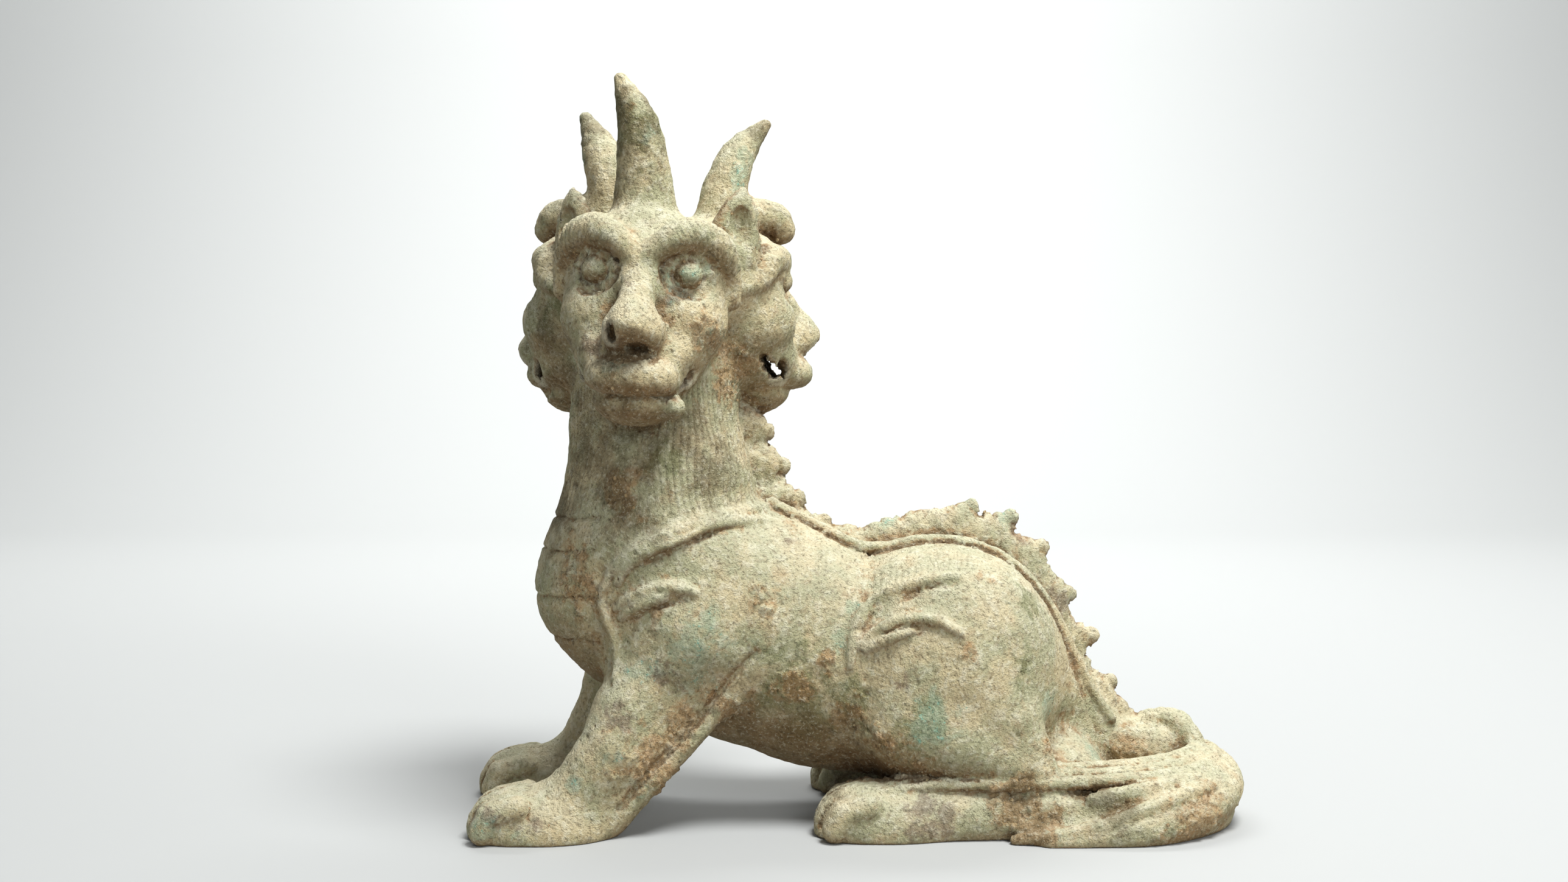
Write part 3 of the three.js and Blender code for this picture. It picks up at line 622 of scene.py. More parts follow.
# %% Ears, holes and all the heads
EARS = [(-30, 37, -66), (-152, 33, -128), (88, 31, 88)]
HOLES = [
    [(-8.2, -12, 177, 1.8), (-7, 8, 177.3, 2), (-5.5, 50, 178.5, 2.2)],
    [(-7, -12, 174, 2.4), (-5.5, 8, 174.5, 2.6), (-3, 50, 175.5, 2.6)],
    [(-5, -12, 170.5, 2.2), (-3.8, 8, 171.5, 2.6), (-1, 50, 173.5, 2.6)],
    [(-17.5, -30, 161.5, 1.2), (-17.5, 0, 161.5, 1.2)],
]


def ear(angle, reach, facing):
    """A leaf at an angle and a reach from the neck that faces its own way, hollow in front."""
    place = Matrix.Translation(NECK) @ Matrix.Rotation(math.radians(angle), 4, "Z")
    place = place @ Matrix.Translation((reach, 0, 0))
    place = place @ Matrix.Rotation(math.radians(facing - angle), 4, "Z")
    leaf = [(-4, 0, 206, 12.5), (-2, 0, 218, 11), (0.5, 1, 229, 8), (2.5, 2, 239.5, 1.8)]
    add(limb(smooth(leaf, 9), (0.5, 1, 1), place), 2.5)
    cut(egg((5.6, 1, 222), (4.2, 5.8, 12), -8, place), 0.8)
    for x, y, z, r in ((1, 3, 215, 2.8), (1.3, -2.5, 218.5, 2.6)):
        add(egg((x, y, z), (r * 0.7, r, r), place=place), 3.5)


def heads():
    add(egg((NECK.x, NECK.y, 202), (35, 35, 29)), 8)
    for one in HEADS:
        shape = dict(one)
        head(head_place(*(shape.pop(name) for name in ("angle", "roll", "back"))), **shape)
    for standing in EARS:
        ear(*standing)
    for hole in HOLES:
        cut(limb(hole), 0.8)


heads()
np.maximum(clay, -AXES[2][None, None, :], out=clay)  # the ground cuts everything off flat
report("heads, ears and holes")

# %% [markdown]
# ## From clay to skin
#
# The surface lies where the clay's number is zero. Marching cubes would do, but surface nets give
# evener faces with less code: every grid cell that the surface passes through gets one vertex, at the
# mean of the places where the surface crosses the cell's edges, and every grid edge that is crossed
# gets one quad between the four cells round it. Cuts leave specks and bubbles behind, so only the
# largest shell is kept.

# %% Surface nets
def skin_of(values):
    """The places and the quads of the surface where the values pass zero."""
    inside = values < 0
    size = np.array(values.shape) - 1
    full = np.zeros(size, np.uint8)
    for i, j, k in itertools.product((0, 1), repeat=3):
        full += inside[i : i + size[0], j : j + size[1], k : k + size[2]]
    cells = np.argwhere((full > 0) & (full < 8))
    number = np.full(size, -1, np.int32)
    number[tuple(cells.T)] = np.arange(len(cells))
    total = np.zeros((len(cells), 3))
    hits = np.zeros((len(cells), 1))
    quads = []
    for axis in range(3):
        unit = np.eye(3, dtype=int)[axis]
        u, v = np.eye(3, dtype=int)[(axis + 1) % 3], np.eye(3, dtype=int)[(axis + 2) % 3]
        for step in (0 * u, u, v, u + v):
            low = cells + step
            a, b = values[tuple(low.T)], values[tuple((low + unit).T)]
            crossed = (a < 0) != (b < 0)
            share = a[crossed] / (a[crossed] - b[crossed])
            total[crossed] += low[crossed] + share[:, None] * unit
            hits[crossed] += 1
        lower = np.moveaxis(inside, axis, 0)[:-1]
        upper = np.moveaxis(inside, axis, 0)[1:]
        edges = np.argwhere(np.moveaxis(lower != upper, 0, axis))
        corners = [number[tuple((edges - back).T)] for back in (u + v, v, 0 * u, u)]
        faces = np.stack(corners, axis=1)
        outside_low = ~inside[tuple(edges.T)]
        faces[outside_low] = faces[outside_low][:, ::-1]
        quads.append(faces)
    return LOW + GRID * total / hits, np.concatenate(quads)


def main_shell(places, faces):
    """The largest closed shell. Each vertex takes the lowest label it is joined to, until none changes."""
    label = np.arange(len(places))
    while True:
        lower = label.copy()
        np.minimum.at(lower, faces.ravel(), np.repeat(label[faces].min(axis=1), faces.shape[1]))
        lower = lower[lower]
        if (lower == label).all():
            break
        label = lower
    kept = label == np.bincount(label).argmax()
    number = np.cumsum(kept) - 1
    return places[kept], number[faces[kept[faces[:, 0]]]]


points, quads = main_shell(*skin_of(clay))
report("skin:", len(points), "vertices,", len(quads), "quads")

# %% [markdown]
# ## Combed hair, chest seams and brow hair
#
# Low relief is cheaper on the skin than in the clay: each vertex moves a little along its normal. The
# neck is combed with wavy lines that run down to the shoulders, a second comb hangs from the cord over
# the loins, the chest is crossed by seams like the plates of a snake's belly, and the brows and curls
# carry short hairs. The walls of the crest are rough with slanting grooves, and the horns are streaked.

# %% Tools for relief
def normals_at(places):
    steps = GRID * np.eye(3)
    slope = np.stack([sample(places + step) - sample(places - step) for step in steps], axis=1)
    return slope / np.maximum(np.linalg.norm(slope, axis=1, keepdims=True), 1e-6)


def ramp(value, low, high):
    """0 at low, 1 at high, eased between."""
    t = np.clip((value - low) / (high - low), 0, 1)
    return t * t * (3 - 2 * t)


def wave(turns):
    """Rounded ridges with sharp grooves between, one a turn, from -1.3 to 0.7."""
    return 2 * np.sqrt(np.abs(np.sin(np.pi * turns))) - 1.3


def lumps(p, size, seed):
    """Soft random lumps of a size in millimetres, from -1 to 1."""
    lattice = np.random.default_rng(seed).uniform(-1, 1, (32, 32, 32))
    corner = np.floor(p / size).astype(int)
    share = p / size - corner
    share = share * share * (3 - 2 * share)
    total = 0
    for step in itertools.product((0, 1), repeat=3):
        weight = np.prod(np.where(step, share, 1 - share), axis=1)
        x, y, z = ((corner + step) % 32).T
        total = total + weight * lattice[x, y, z]
    return total


def in_head(p, one):
    """Places in a head's own frame, as x, y and z."""
    place = np.array(head_place(one["angle"], one["roll"], one["back"]).inverted())
    return (p @ place[:3, :3].T + place[:3, 3]).T


print("relief tools ready; lumps at the origin:", lumps(np.zeros((1, 3)), 9, 1).round(3))

# %% Combed hair
def neck_comb(p):
    """The comb's turns and strength on the neck."""
    from_axis = p[:, :2] - np.array(NECK[:2])
    angle = (np.arctan2(from_axis[:, 1], from_axis[:, 0]) - 1) % (2 * math.pi)
    swing = 0.035 * np.sin(p[:, 2] / 8 + 4 * angle) + 0.02 * lumps(p, 9, 1)
    strength = ramp(p[:, 2], 110, 126) * ramp(-p[:, 2], -176, -164)
    strength *= ramp(-np.hypot(*from_axis.T), -52, -44)
    chest = ramp(np.abs(angle + 1 - 1.38 * math.pi), 0.15, 0.8)
    return 40 * (angle + swing) / np.pi, strength * (0.2 + 0.55 * chest)


def along_the_spine(p):
    """How far each place is along the spine and below it."""
    reach = np.linalg.norm(p[:, None, [0, 2]] - spine[None, ::4, [0, 2]], axis=2)
    nearest = 4 * reach.argmin(axis=1)
    away = p - spine[nearest]
    length = np.concatenate([[0], np.cumsum(np.linalg.norm(np.diff(spine, axis=0), axis=1))])
    below = -(away * outward[nearest]).sum(axis=1)
    return length[nearest] + (away * along[nearest]).sum(axis=1), below


def loin_comb(p):
    place, below = along_the_spine(p)
    strength = ramp(below, 3, 5) * ramp(-below, -20, -8)
    strength = strength * ramp(p[:, 0], 6, 18) * ramp(-p[:, 0], -108, -72)
    strength *= ramp(np.abs(p[:, 1]), 12, 16) * (0.6 + 0.5 * lumps(p, 12, 12))
    return (place + 0.02 * below**2 + 0.9 * lumps(p, 7, 2)) / 2.3, 0.5 * strength


def brow_comb(p, one, side):
    x, y, z = in_head(p, one)
    dy, dz = side * y - EYE[1], z - (EYE[2] - 6)
    reach = np.hypot(dy, dz)
    strength = ramp(reach, 15, 16.5) * ramp(-reach, -29, -25) * ramp(dz, 4, 9) * ramp(x, 20, 28)
    turns = np.arctan2(dy, dz) * 19 / 2.1 + 0.3 * reach + 0.25 * lumps(p, 5, 13)
    return turns, (0.5 + 0.3 * lumps(p, 9, 14)) * strength * ramp(dy, -12, -4)


def curl_comb(p, one):
    x, y, z = in_head(p, one)
    turns = (y + 0.35 * z) / 2.3 + 0.3 * lumps(p, 5, 15)
    strength = 0.5 * ramp(x, 38, 43) * ramp(z, 224, 228) * ramp(-z, -246, -242)
    return turns, strength * (one["tuft"] is CURLED)


def comb(p):
    """The turns and strength of whichever comb is the strongest at each place."""
    combs = [neck_comb(p), loin_comb(p)]
    for one in HEADS:
        combs += [brow_comb(p, one, -1), brow_comb(p, one, 1), curl_comb(p, one)]
    turns, strength = (np.array(rows) for rows in zip(*combs))
    best = strength.argmax(axis=0)
    every = np.arange(len(p))
    return turns[best, every], strength[best, every]


def comb_the_hair(p):
    turns, strength = comb(p)
    return 0.55 * wave(turns) * strength


print("strongest comb on the skin:", round(comb(points[::50])[1].max(), 2))

# %% Relief on the skin
CHEST_SEAMS = (116.4, 104.5, 86.8, 69.7)  # heights at the front of the chest


def roughen_the_crest(p):
    place, below = along_the_spine(p)
    where = ramp(-below, -2, 1) * ramp(-np.abs(p[:, 1] - across(p[:, 0])), -12, -8)
    where = where * ramp(-p[:, 2], -158, -150) * ramp(p[:, 0], -24, -16)
    slant = wave((place - 0.9 * below + 2.2 * lumps(p, 7, 3)) / 6.5)
    return (0.4 * slant + 0.35 * lumps(p, 2.6, 4) + 0.3 * lumps(p, 5, 5)) * where


def seam_the_chest(p):
    wander = 0.8 * lumps(p, 6, 6)
    where = ramp(-p[:, 0], 66, 72) * ramp(-p[:, 2], -124, -118) * ramp(p[:, 2], 56, 62)
    depth = 0
    for height in CHEST_SEAMS:
        depth = depth + np.exp(-(((p[:, 2] + wander - height - 0.06 * (p[:, 0] + 90)) / 0.8) ** 2))
    return -1.3 * depth * where


def streak_the_horns(p):
    height = np.zeros(len(p))
    for one in HEADS:
        x, y, z = in_head(p, one)
        around = np.arctan2(y + 6 * ramp(z, 240, 280) * (one["horn"] == "front"), x - 30)
        where = ramp(z, 241, 248) * ramp(-z, -276, -268) * ramp(np.hypot(x - 30, y), 0, 1)
        where *= ramp(-np.hypot(x - 32, y), -26, -22)
        height += 0.3 * lumps(np.stack([around * 8, z / 9, 0 * z], axis=1), 1.7, 7) * where
    return height


low_relief = [comb_the_hair, roughen_the_crest, seam_the_chest, streak_the_horns]
normals = normals_at(points)
lift = sum(relief(points) for relief in low_relief)
lift += 0.3 * lumps(points, 7, 8) + 0.12 * lumps(points, 3.4, 9)
points = points + normals * (lift * ramp(points[:, 2], 1, 6))[:, None]
report("relief lifts", round(lift.max(), 2), "mm at most,")

# %% [markdown]
# ## Where the crust gathers
#
# Burial leaves its mark by place. Earth stays in hollows, and greens and browns come in patches. The dark
# patches are partly dark bare metal and partly painted shade under the chin, on the neck below the heads
# and low along the belly and tail. A hollow is found from the clay itself: a few millimetres off an open
# surface the clay reads that distance, but in a hollow another wall is nearer and it reads less. Patches
# are soft spots in named places. Which way each place faces is kept too, for painted shade on faces that
# look down and painted light on faces that look up. Each measure becomes a number on every vertex that
# the crust's relief and its colours both read.

# %% Patches
PATCHES = {
    "olive": [
        (4, -36, 56, 16), (24, -33, 50, 12), (-58, -37, 260, 14), (10, -32, 44, 14), (89, -36, 62, 8),
        (92, -25, 84, 7), (-42, -34, 138, 8), (47, -44, 41, 14), (-66, -52, 202, 5), (-86, -16, 197, 9),
        (20, 36, 60, 20), (-50, 40, 120, 18), (70, 40, 70, 20),
    ],
    "teal": [
        (-31, -44, 70, 14), (-51, -41, 63, 8), (-61, -47, 33, 5), (-77, -46, 22, 4), (-108, -55, 8, 7),
        (-97, -57, 6, 6), (-36, -50, 205, 9), (-26, -45, 185, 7), (-49, -42, 257, 5), (-14, 12, 256, 6),
        (-17, 7, 246, 5), (99, -24, 47, 8), (55, -44, 43, 12), (40, 3, 114, 4), (74, 4, 120, 5),
        (87, 5, 115, 5), (22, -34, 70, 5), (34, -37, 60, 3), (-26, -25, 224, 4), (27, -29, 83, 4),
        (-54, -42, 18, 5), (-77, -22, 229, 4), (119, -15, 25, 6), (-57, -66, 176, 6), (-79, 15, 258, 6),
        (-60, 38, 60, 12), (90, 45, 50, 12),
    ],
    "umber": [
        (-44, -42, 61, 7), (-40, -54, 198, 5), (-66, -52, 181, 7), (-54, -54, 200, 5),
        (-68, -46, 199, 4), (-37, -48, 197, 4), (-53, -68, 182, 9), (94, 6, 107, 6), (107, 3, 81, 8),
        (52, -47, 9, 11), (-104, -53, 11, 7), (-92, -54, 10, 7), (-112, -48, 12, 5), (-59, -45, 46, 6),
        (3, -22, 108, 4), (-71, -49, 202, 4), (43, -41, 58, 6), (0, 40, 100, 10),
    ],
    "earth": [
        (-51, -42, 28, 13), (-52, -66, 158, 13), (-20, -12, 172, 14), (89, -46, 11, 18),
        (135, -4, 24, 10), (97, -39, 33, 6), (24, -32, 43, 9), (-26, -46, 184, 9), (36, -40, 36, 9),
        (151, -45, 7, 15), (16, -35, 64, 5), (-38, -37, 39, 9), (-20, -34, 48, 10), (-74, -30, 104, 9),
        (-46, -40, 84, 7), (50, -36, 30, 8), (-8, -33, 84, 7), (118, -16, 52, 8), (78, -34, 98, 6),
        (-58, -35, 126, 10), (-76, -33, 95, 11), (69, -41, 72, 5), (5, -34, 55, 8), (-54, -41, 268, 4),
        (-90, 20, 95, 14), (60, 45, 20, 14),
    ],
    # Dark patches: dark patina on the horns and elsewhere, and painted shade under the chin, on the neck
    # below the heads and low along the belly and tail.
    "dark": [
        (-80, -50, 150, 22), (-88, -40, 172, 16), (-54, -60, 172, 16), (-84, -12, 118, 16),
        (-61, -35, 273, 16), (-58, -37, 257, 16), (-60, -36, 244, 8), (-7, 22, 268, 13),
        (-79, 16, 268, 12), (-25, -30, 134, 13), (-68, -30, 140, 24), (-58, -37, 120, 14),
        (-90, -12, 190, 9), (21, -27, 32, 16), (3, -27, 34, 14), (-16, -26, 39, 12),
        (-54, -36, 152, 18), (-84, -8, 172, 9), (-36, -30, 149, 12), (92, -50, 14, 15),
        (118, -48, 12, 13), (-53, -68, 181, 9), (-53, -58, 156, 12),
    ],
}
print("patches:", {kind: len(spots) for kind, spots in PATCHES.items()})

# %% Weathering
PER_METRE = 1000


def weathering(p):
    """The marks at each place: its hollows and edges, which way it faces, its patches and its comb."""
    out = normals_at(p)
    ragged = 0.55 * lumps(p, 9, 16) + 0.4 * lumps(p, 4, 17) + 0.25 * lumps(p, 2, 18)
    hollow = sum(np.clip(1 - sample(p + out * far) / far, 0, 1) for far in (1.5, 4, 9)) / 3
    edge = np.clip(1 + sample(p - out * 2.5) / 2.5, 0, 1)
    marks = {"hollow": ramp(hollow, 0.04, 0.6), "edge": edge}
    # Which way each place faces: down for painted shade beneath, up for painted top light.
    marks["beneath"], marks["above"] = ramp(-out[:, 2], 0.08, 0.7), ramp(out[:, 2], -0.1, 0.8)
    for kind, spots in PATCHES.items():
        mark = np.zeros(len(p))
        for x, y, z, radius in spots:
            reach = np.linalg.norm(p - (x, y, z), axis=1) / radius + ragged
            mark = np.maximum(mark, ramp(-reach, -1.5, -0.2))
        marks[kind] = mark
    crest_wall = np.full(len(p), 99.0)
    for s in (spine + 5 * outward)[::3]:
        crest_wall = np.minimum(crest_wall, np.linalg.norm(p - (s[0], across(s[0]), s[2]), axis=1))
    marks["crusty"] = 0.25 * ramp(-crest_wall, -13, -8)
    marks["turns"], marks["combed"] = comb(p)
    return marks


def write_marks(mesh, marks):
    for name, values in marks.items():
        layer = mesh.attributes.get(name) or mesh.attributes.new(name, "FLOAT", "POINT")
        layer.data.foreach_set("value", values.astype(np.float32))


def in_metres(places):
    """Places in the clay as the flat list of the frame's metres that a mesh takes."""
    return ((places - MIDDLE) / PER_METRE).astype(np.float32).ravel()


def linked(name, data):
    """A new object in the scene."""
    made = bpy.data.objects.new(name, data)
    bpy.context.scene.collection.objects.link(made)
    return made


def new_piece(name, places, faces):
    mesh = bpy.data.meshes.new(name)
    mesh.vertices.add(len(places))
    mesh.vertices.foreach_set("co", in_metres(places))
    mesh.loops.add(faces.size)
    mesh.loops.foreach_set("vertex_index", faces.astype(np.int32).ravel())
    mesh.polygons.add(len(faces))
    mesh.polygons.foreach_set("loop_start", np.arange(0, faces.size, faces.shape[1], dtype=np.int32))
    mesh.update(calc_edges=True)
    mesh.validate()
    return linked(name, mesh)


statue = new_piece("guardian_beast", points, quads)
write_marks(statue.data, weathering(points))
report("weathered")

# %% [markdown]
# Node trees are long to write out, so a small helper makes nodes in a tree and joins them up.

# %% A helper for node trees
def new_socket(tree, name, kind, way="INPUT"):
    return tree.interface.new_socket(name=name, in_out=way, socket_type="NodeSocket" + kind)


class Wiring:
    """Makes nodes in a tree. An input is given a number, a colour or another node's output."""

    def __init__(self, tree):
        self.tree = tree
        self.column = 0

    def node(self, kind, inputs=None, **settings):
        made = self.tree.nodes.new(kind)
        self.column += 1
        made.location = (170 * self.column, -60 * (self.column % 5))
        for name, value in settings.items():
            setattr(made, name, value)
        for name, value in (inputs or {}).items():
            socket = made.inputs[name]
            if isinstance(value, bpy.types.NodeSocket):
                self.tree.links.new(value, socket)
            else:
                socket.default_value = value
        return made

    def math(self, operation, *values):
        return self.node("ShaderNodeMath", dict(enumerate(values)), operation=operation).outputs[0]

    def times(self, a, b):
        return self.math("MULTIPLY", a, b)

    def plus(self, a, b):
        return self.math("ADD", a, b)

    def minus(self, a, b):
        return self.math("SUBTRACT", a, b)

    def larger(self, a, b):
        return self.math("MAXIMUM", a, b)

    def ease(self, value, low, high):
        """0 at low, 1 at high, eased between."""
        inputs = {"Value": value, "From Min": low, "From Max": high}
        made = self.node("ShaderNodeMapRange", inputs, interpolation_type="SMOOTHSTEP")
        return made.outputs["Result"]

    def mark(self, name):
        """A mark on the vertices, read in a Geometry Nodes tree."""
        return self.node("GeometryNodeInputNamedAttribute", {"Name": name}).outputs["Attribute"]

    def ground_fade(self, place, low, high):
        """0 up to a low height over the ground, 1 from a high one, both in metres."""
        return self.ease(self.node("ShaderNodeSeparateXYZ", {0: place}).outputs["Z"], low, high)


def geometry_tree(name, amounts):
    """A new tree that takes a geometry and named amounts and gives a geometry."""
    tree = bpy.data.node_groups.new(name, "GeometryNodeTree")
    new_socket(tree, "Geometry", "Geometry")
    for label, value in amounts.items():
        new_socket(tree, label, "Int" if isinstance(value, int) else "Float").default_value = value
    new_socket(tree, "Geometry", "Geometry", "OUTPUT")
    w = Wiring(tree)
    return tree, w, w.node("NodeGroupInput").outputs


def give_out(w, geometry, material):
    """Makes a geometry real, gives it its material and sends it to the tree's output."""
    real = w.node("GeometryNodeRealizeInstances", {"Geometry": geometry}).outputs[0]
    dressed = w.node("GeometryNodeSetMaterial", {"Geometry": real, "Material": material}).outputs[0]
    w.node("NodeGroupOutput", {"Geometry": dressed})


print("helpers ready:", [name for name in vars(Wiring) if name[0] != "_"])

# %% [markdown]
# ## The crust's colours
#
# One shader group mixes the patina from noises at several scales and from the marks on the vertices, so
# that every patch has a ragged edge and a grain. Part of its colour is painted light: painted shade in
# hollows, the comb's grooves and pits, on faces that look down and in some dark patches, and painted
# highlight on faces that look up and on the raised grain. It gives a colour, a roughness and a height
# for the bump. The Principled shader stays outside it, in the material.

# %% Colours
def rgb(*seen):
    """A colour as seen, from 0 to 255, in the linear values that a shader takes."""
    return [((c / 255 + 0.055) / 1.055) ** 2.4 if c > 10 else c / 3295 for c in seen] + [1.0]


BEIGE = (184, 170, 133)
GREY_GREEN = (157, 155, 121)
# the pale colour serves both as dust and as painted highlight
PALE_DUST_AND_HIGHLIGHT = (216, 213, 190)
SHADE = (128, 111, 80)
OLIVE = (98, 104, 62)
TEAL = (148, 170, 146)
TURQUOISE = (104, 176, 160)
UMBER = (98, 76, 68)
EARTH = (158, 120, 78)
# painted shade for hollows, the comb's grooves and the pits of the grain
RECESS_SHADE = (82, 64, 42)
# dark patina, also used as painted shade
DARK_PATINA_AND_SHADE = (84, 70, 43)
# painted shade for faces that look down
BELLY_SHADE = (112, 84, 52)
print("the palest dust in linear values:", [round(c, 3) for c in rgb(*PALE_DUST_AND_HIGHLIGHT)])

# %% Patina group
MARKS = ("hollow", "edge", "beneath", "above", *PATCHES, "turns", "combed")


def patina_group():
    tree = bpy.data.node_groups.new("Patina", "ShaderNodeTree")
    for name in MARKS:
        new_socket(tree, name, "Float")
    for name, kind in {"Color": "Color", "Roughness": "Float", "Height": "Float"}.items():
        new_socket(tree, name, kind, "OUTPUT")
    w = Wiring(tree)
    given = w.node("NodeGroupInput").outputs
    place = w.node("ShaderNodeTexCoord").outputs["Object"]

    def noise(scale, detail=3.0, roughness=0.6, shift=0.0):
        moved = w.node("ShaderNodeVectorMath", {0: place, 1: (shift, shift, shift)}, operation="ADD")
        inputs = {"Vector": moved.outputs[0], "Scale": scale, "Detail": detail, "Roughness": roughness}
        return w.node("ShaderNodeTexNoise", inputs).outputs[0]

    def paint(under, over, share):
        inputs = {"Factor": share, "A": under, "B": rgb(*over)}
        return w.node("ShaderNodeMix", inputs, data_type="RGBA").outputs["Result"]

    def stain(under, over, mark, size, most, soft, reach):
        """A stain that breaks into specks at its rim: the stronger the mark, the more noise passes."""
        texture = noise(size, 5.0, 0.7, size / 37)
        share = w.ease(w.plus(texture, w.times(mark, reach)), 0.72 - soft, 0.72 + soft)
        share = w.times(w.times(share, w.ease(mark, 0.0, 0.3)), most)
        return paint(under, over, share)

    broad, patchy, spotty = noise(26), noise(80, 4.0), noise(260, 4.0, 0.65)
    mottled, grain, fine = noise(330, 4.0, 0.65, 3.1), noise(800, 3.0, 0.7), noise(1900, 2.0, 0.6)
    hair = w.math("SQRT", w.math("ABSOLUTE", w.math("SINE", w.times(given["turns"], math.pi))))
    furrow = w.times(w.minus(1.0, hair), given["combed"])
    drift = w.plus(w.times(broad, 0.5), w.times(patchy, 0.5))
    colour = paint(rgb(*BEIGE), GREY_GREEN, w.ease(drift, 0.42, 0.58))
    colour = paint(colour, PALE_DUST_AND_HIGHLIGHT, w.times(w.ease(spotty, 0.5, 0.64), 0.38))
    colour = paint(colour, SHADE, w.times(w.ease(mottled, 0.54, 0.63), 0.45))
    # Painted top light: faces that look up are made paler.
    colour = paint(colour, PALE_DUST_AND_HIGHLIGHT, w.times(given["above"], 0.32))
    colour = stain(colour, EARTH, w.plus(w.times(given["beneath"], 0.3), 0.25), 110, 0.4, 0.14, 0.3)
    colour = stain(colour, OLIVE, given["olive"], 210, 0.6, 0.12, 0.32)
    colour = stain(colour, TEAL, given["teal"], 230, 0.42, 0.1, 0.3)
    colour = stain(colour, TURQUOISE, w.plus(w.times(given["teal"], 0.9), 0.05), 430, 0.5, 0.04, 0.13)
    colour = stain(colour, UMBER, given["umber"], 160, 0.55, 0.1, 0.28)
    colour = stain(colour, EARTH, w.larger(given["earth"], given["hollow"]), 190, 0.62, 0.12, 0.33)
    # Painted shade in the hollows, over the earth stain there.
    colour = paint(colour, RECESS_SHADE, w.times(w.ease(given["hollow"], 0.45, 1.0), 0.6))
    # Dark patches: partly dark patina, partly painted shade.
    colour = stain(colour, DARK_PATINA_AND_SHADE, given["dark"], 95, 0.6, 0.19, 0.34)
    # Painted shade on faces that look down, under the belly, chin and tail.
    colour = paint(colour, BELLY_SHADE, w.times(given["beneath"], 0.65))
    colour = paint(colour, PALE_DUST_AND_HIGHLIGHT, w.times(w.ease(given["edge"], 0.4, 0.9), 0.35))
    # Painted shade in the comb's grooves.
    colour = paint(colour, RECESS_SHADE, w.times(furrow, 0.4))
    # Painted shade in the pits of the grain and painted highlight on its raised specks.
    pits = w.ease(grain, 0.42, 0.32)
    colour = paint(colour, RECESS_SHADE, w.times(pits, 0.34))
    colour = paint(colour, PALE_DUST_AND_HIGHLIGHT, w.times(w.ease(grain, 0.54, 0.66), 0.3))
    rough = w.plus(0.78, w.times(spotty, 0.3))
    height = w.plus(w.times(grain, 0.75), w.times(spotty, 0.95))
    height = w.plus(height, w.times(fine, 0.3))
    height = w.minus(w.minus(height, w.times(pits, 0.15)), w.times(furrow, 0.36))
    w.node("NodeGroupOutput", {"Color": colour, "Roughness": rough, "Height": height})
    return tree


patina = patina_group()
print("patina:", len(patina.nodes), "nodes in the group")

# %% Crusted bronze
BUMP_METRES = 0.0013
SPECULAR = 0.25


def patina_material(name, fixed=None):
    """The patina as a material. Its marks are read from the vertices, or fixed ones are given."""
    material = bpy.data.materials.new(name)
    material.use_nodes = True
    material.node_tree.nodes.clear()
    w = Wiring(material.node_tree)

    def read(mark):
        if fixed is None:
            return w.node("ShaderNodeAttribute", attribute_name=mark).outputs["Fac"]
        return fixed.get(mark, 0.0)

    crust = w.node("ShaderNodeGroup", {mark: read(mark) for mark in MARKS}, node_tree=patina).outputs
    inputs = {"Height": crust["Height"], "Strength": 1.0, "Distance": BUMP_METRES}
    bump = w.node("ShaderNodeBump", inputs).outputs[0]
    inputs = {"Base Color": crust["Color"], "Roughness": crust["Roughness"], "Normal": bump}
    shader = w.node("ShaderNodeBsdfPrincipled", inputs | {"Specular IOR Level": SPECULAR})
    w.node("ShaderNodeOutputMaterial", {"Surface": shader.outputs[0]})
    return material


crusted_bronze = patina_material("crusted_bronze")
print("crusted bronze:", len(crusted_bronze.node_tree.nodes), "nodes")

# %% [markdown]
# ## Cast skin
#
# The crust's own relief repeats over the whole surface, so Geometry Nodes lay it on. The tree moves
# each vertex along its normal by three noises: a soft unevenness everywhere, clods where earth and
# hollows are, and small pits. The sizes are inputs of the tree, and the result is baked into a plain
# mesh.

# %% The cast skin tree
CAST_SKIN = {"Unevenness": 0.0009, "Clod height": 0.0016, "Pit depth": 0.0007}  # metres


def cast_skin_tree(material):
    tree, w, given = geometry_tree("Cast skin", CAST_SKIN)
    place = w.node("GeometryNodeInputPosition").outputs[0]

    def noise(scale, detail=2.0):
        inputs = {"Vector": place, "Scale": scale, "Detail": detail, "Roughness": 0.55}
        return w.node("ShaderNodeTexNoise", inputs).outputs[0]

    swell = w.minus(noise(380.0, 3.0), 0.5)
    crust = w.larger(w.larger(w.mark("earth"), w.times(w.mark("hollow"), 0.6)), w.mark("crusty"))
    clods = w.times(w.ease(noise(360.0), 0.46, 0.66), 0.6)
    clods = w.plus(clods, w.times(w.ease(noise(560.0), 0.42, 0.7), 0.55))
    broken = w.plus(crust, w.times(w.minus(noise(90.0), 0.5), 0.9))
    clods = w.times(clods, w.ease(broken, 0.25, 0.8))
    pits = w.ease(noise(460.0, 1.0), 0.64, 0.74)
    height = w.times(swell, given["Unevenness"])
    height = w.plus(height, w.times(clods, given["Clod height"]))
    height = w.minus(height, w.times(pits, given["Pit depth"]))
    height = w.times(height, w.ground_fade(place, 0.0005, 0.006))
    inputs = {0: w.node("GeometryNodeInputNormal").outputs[0], "Scale": height}
    offset = w.node("ShaderNodeVectorMath", inputs, operation="SCALE").outputs[0]
    inputs = {"Geometry": given["Geometry"], "Offset": offset}
    give_out(w, w.node("GeometryNodeSetPosition", inputs).outputs[0], material)
    return tree


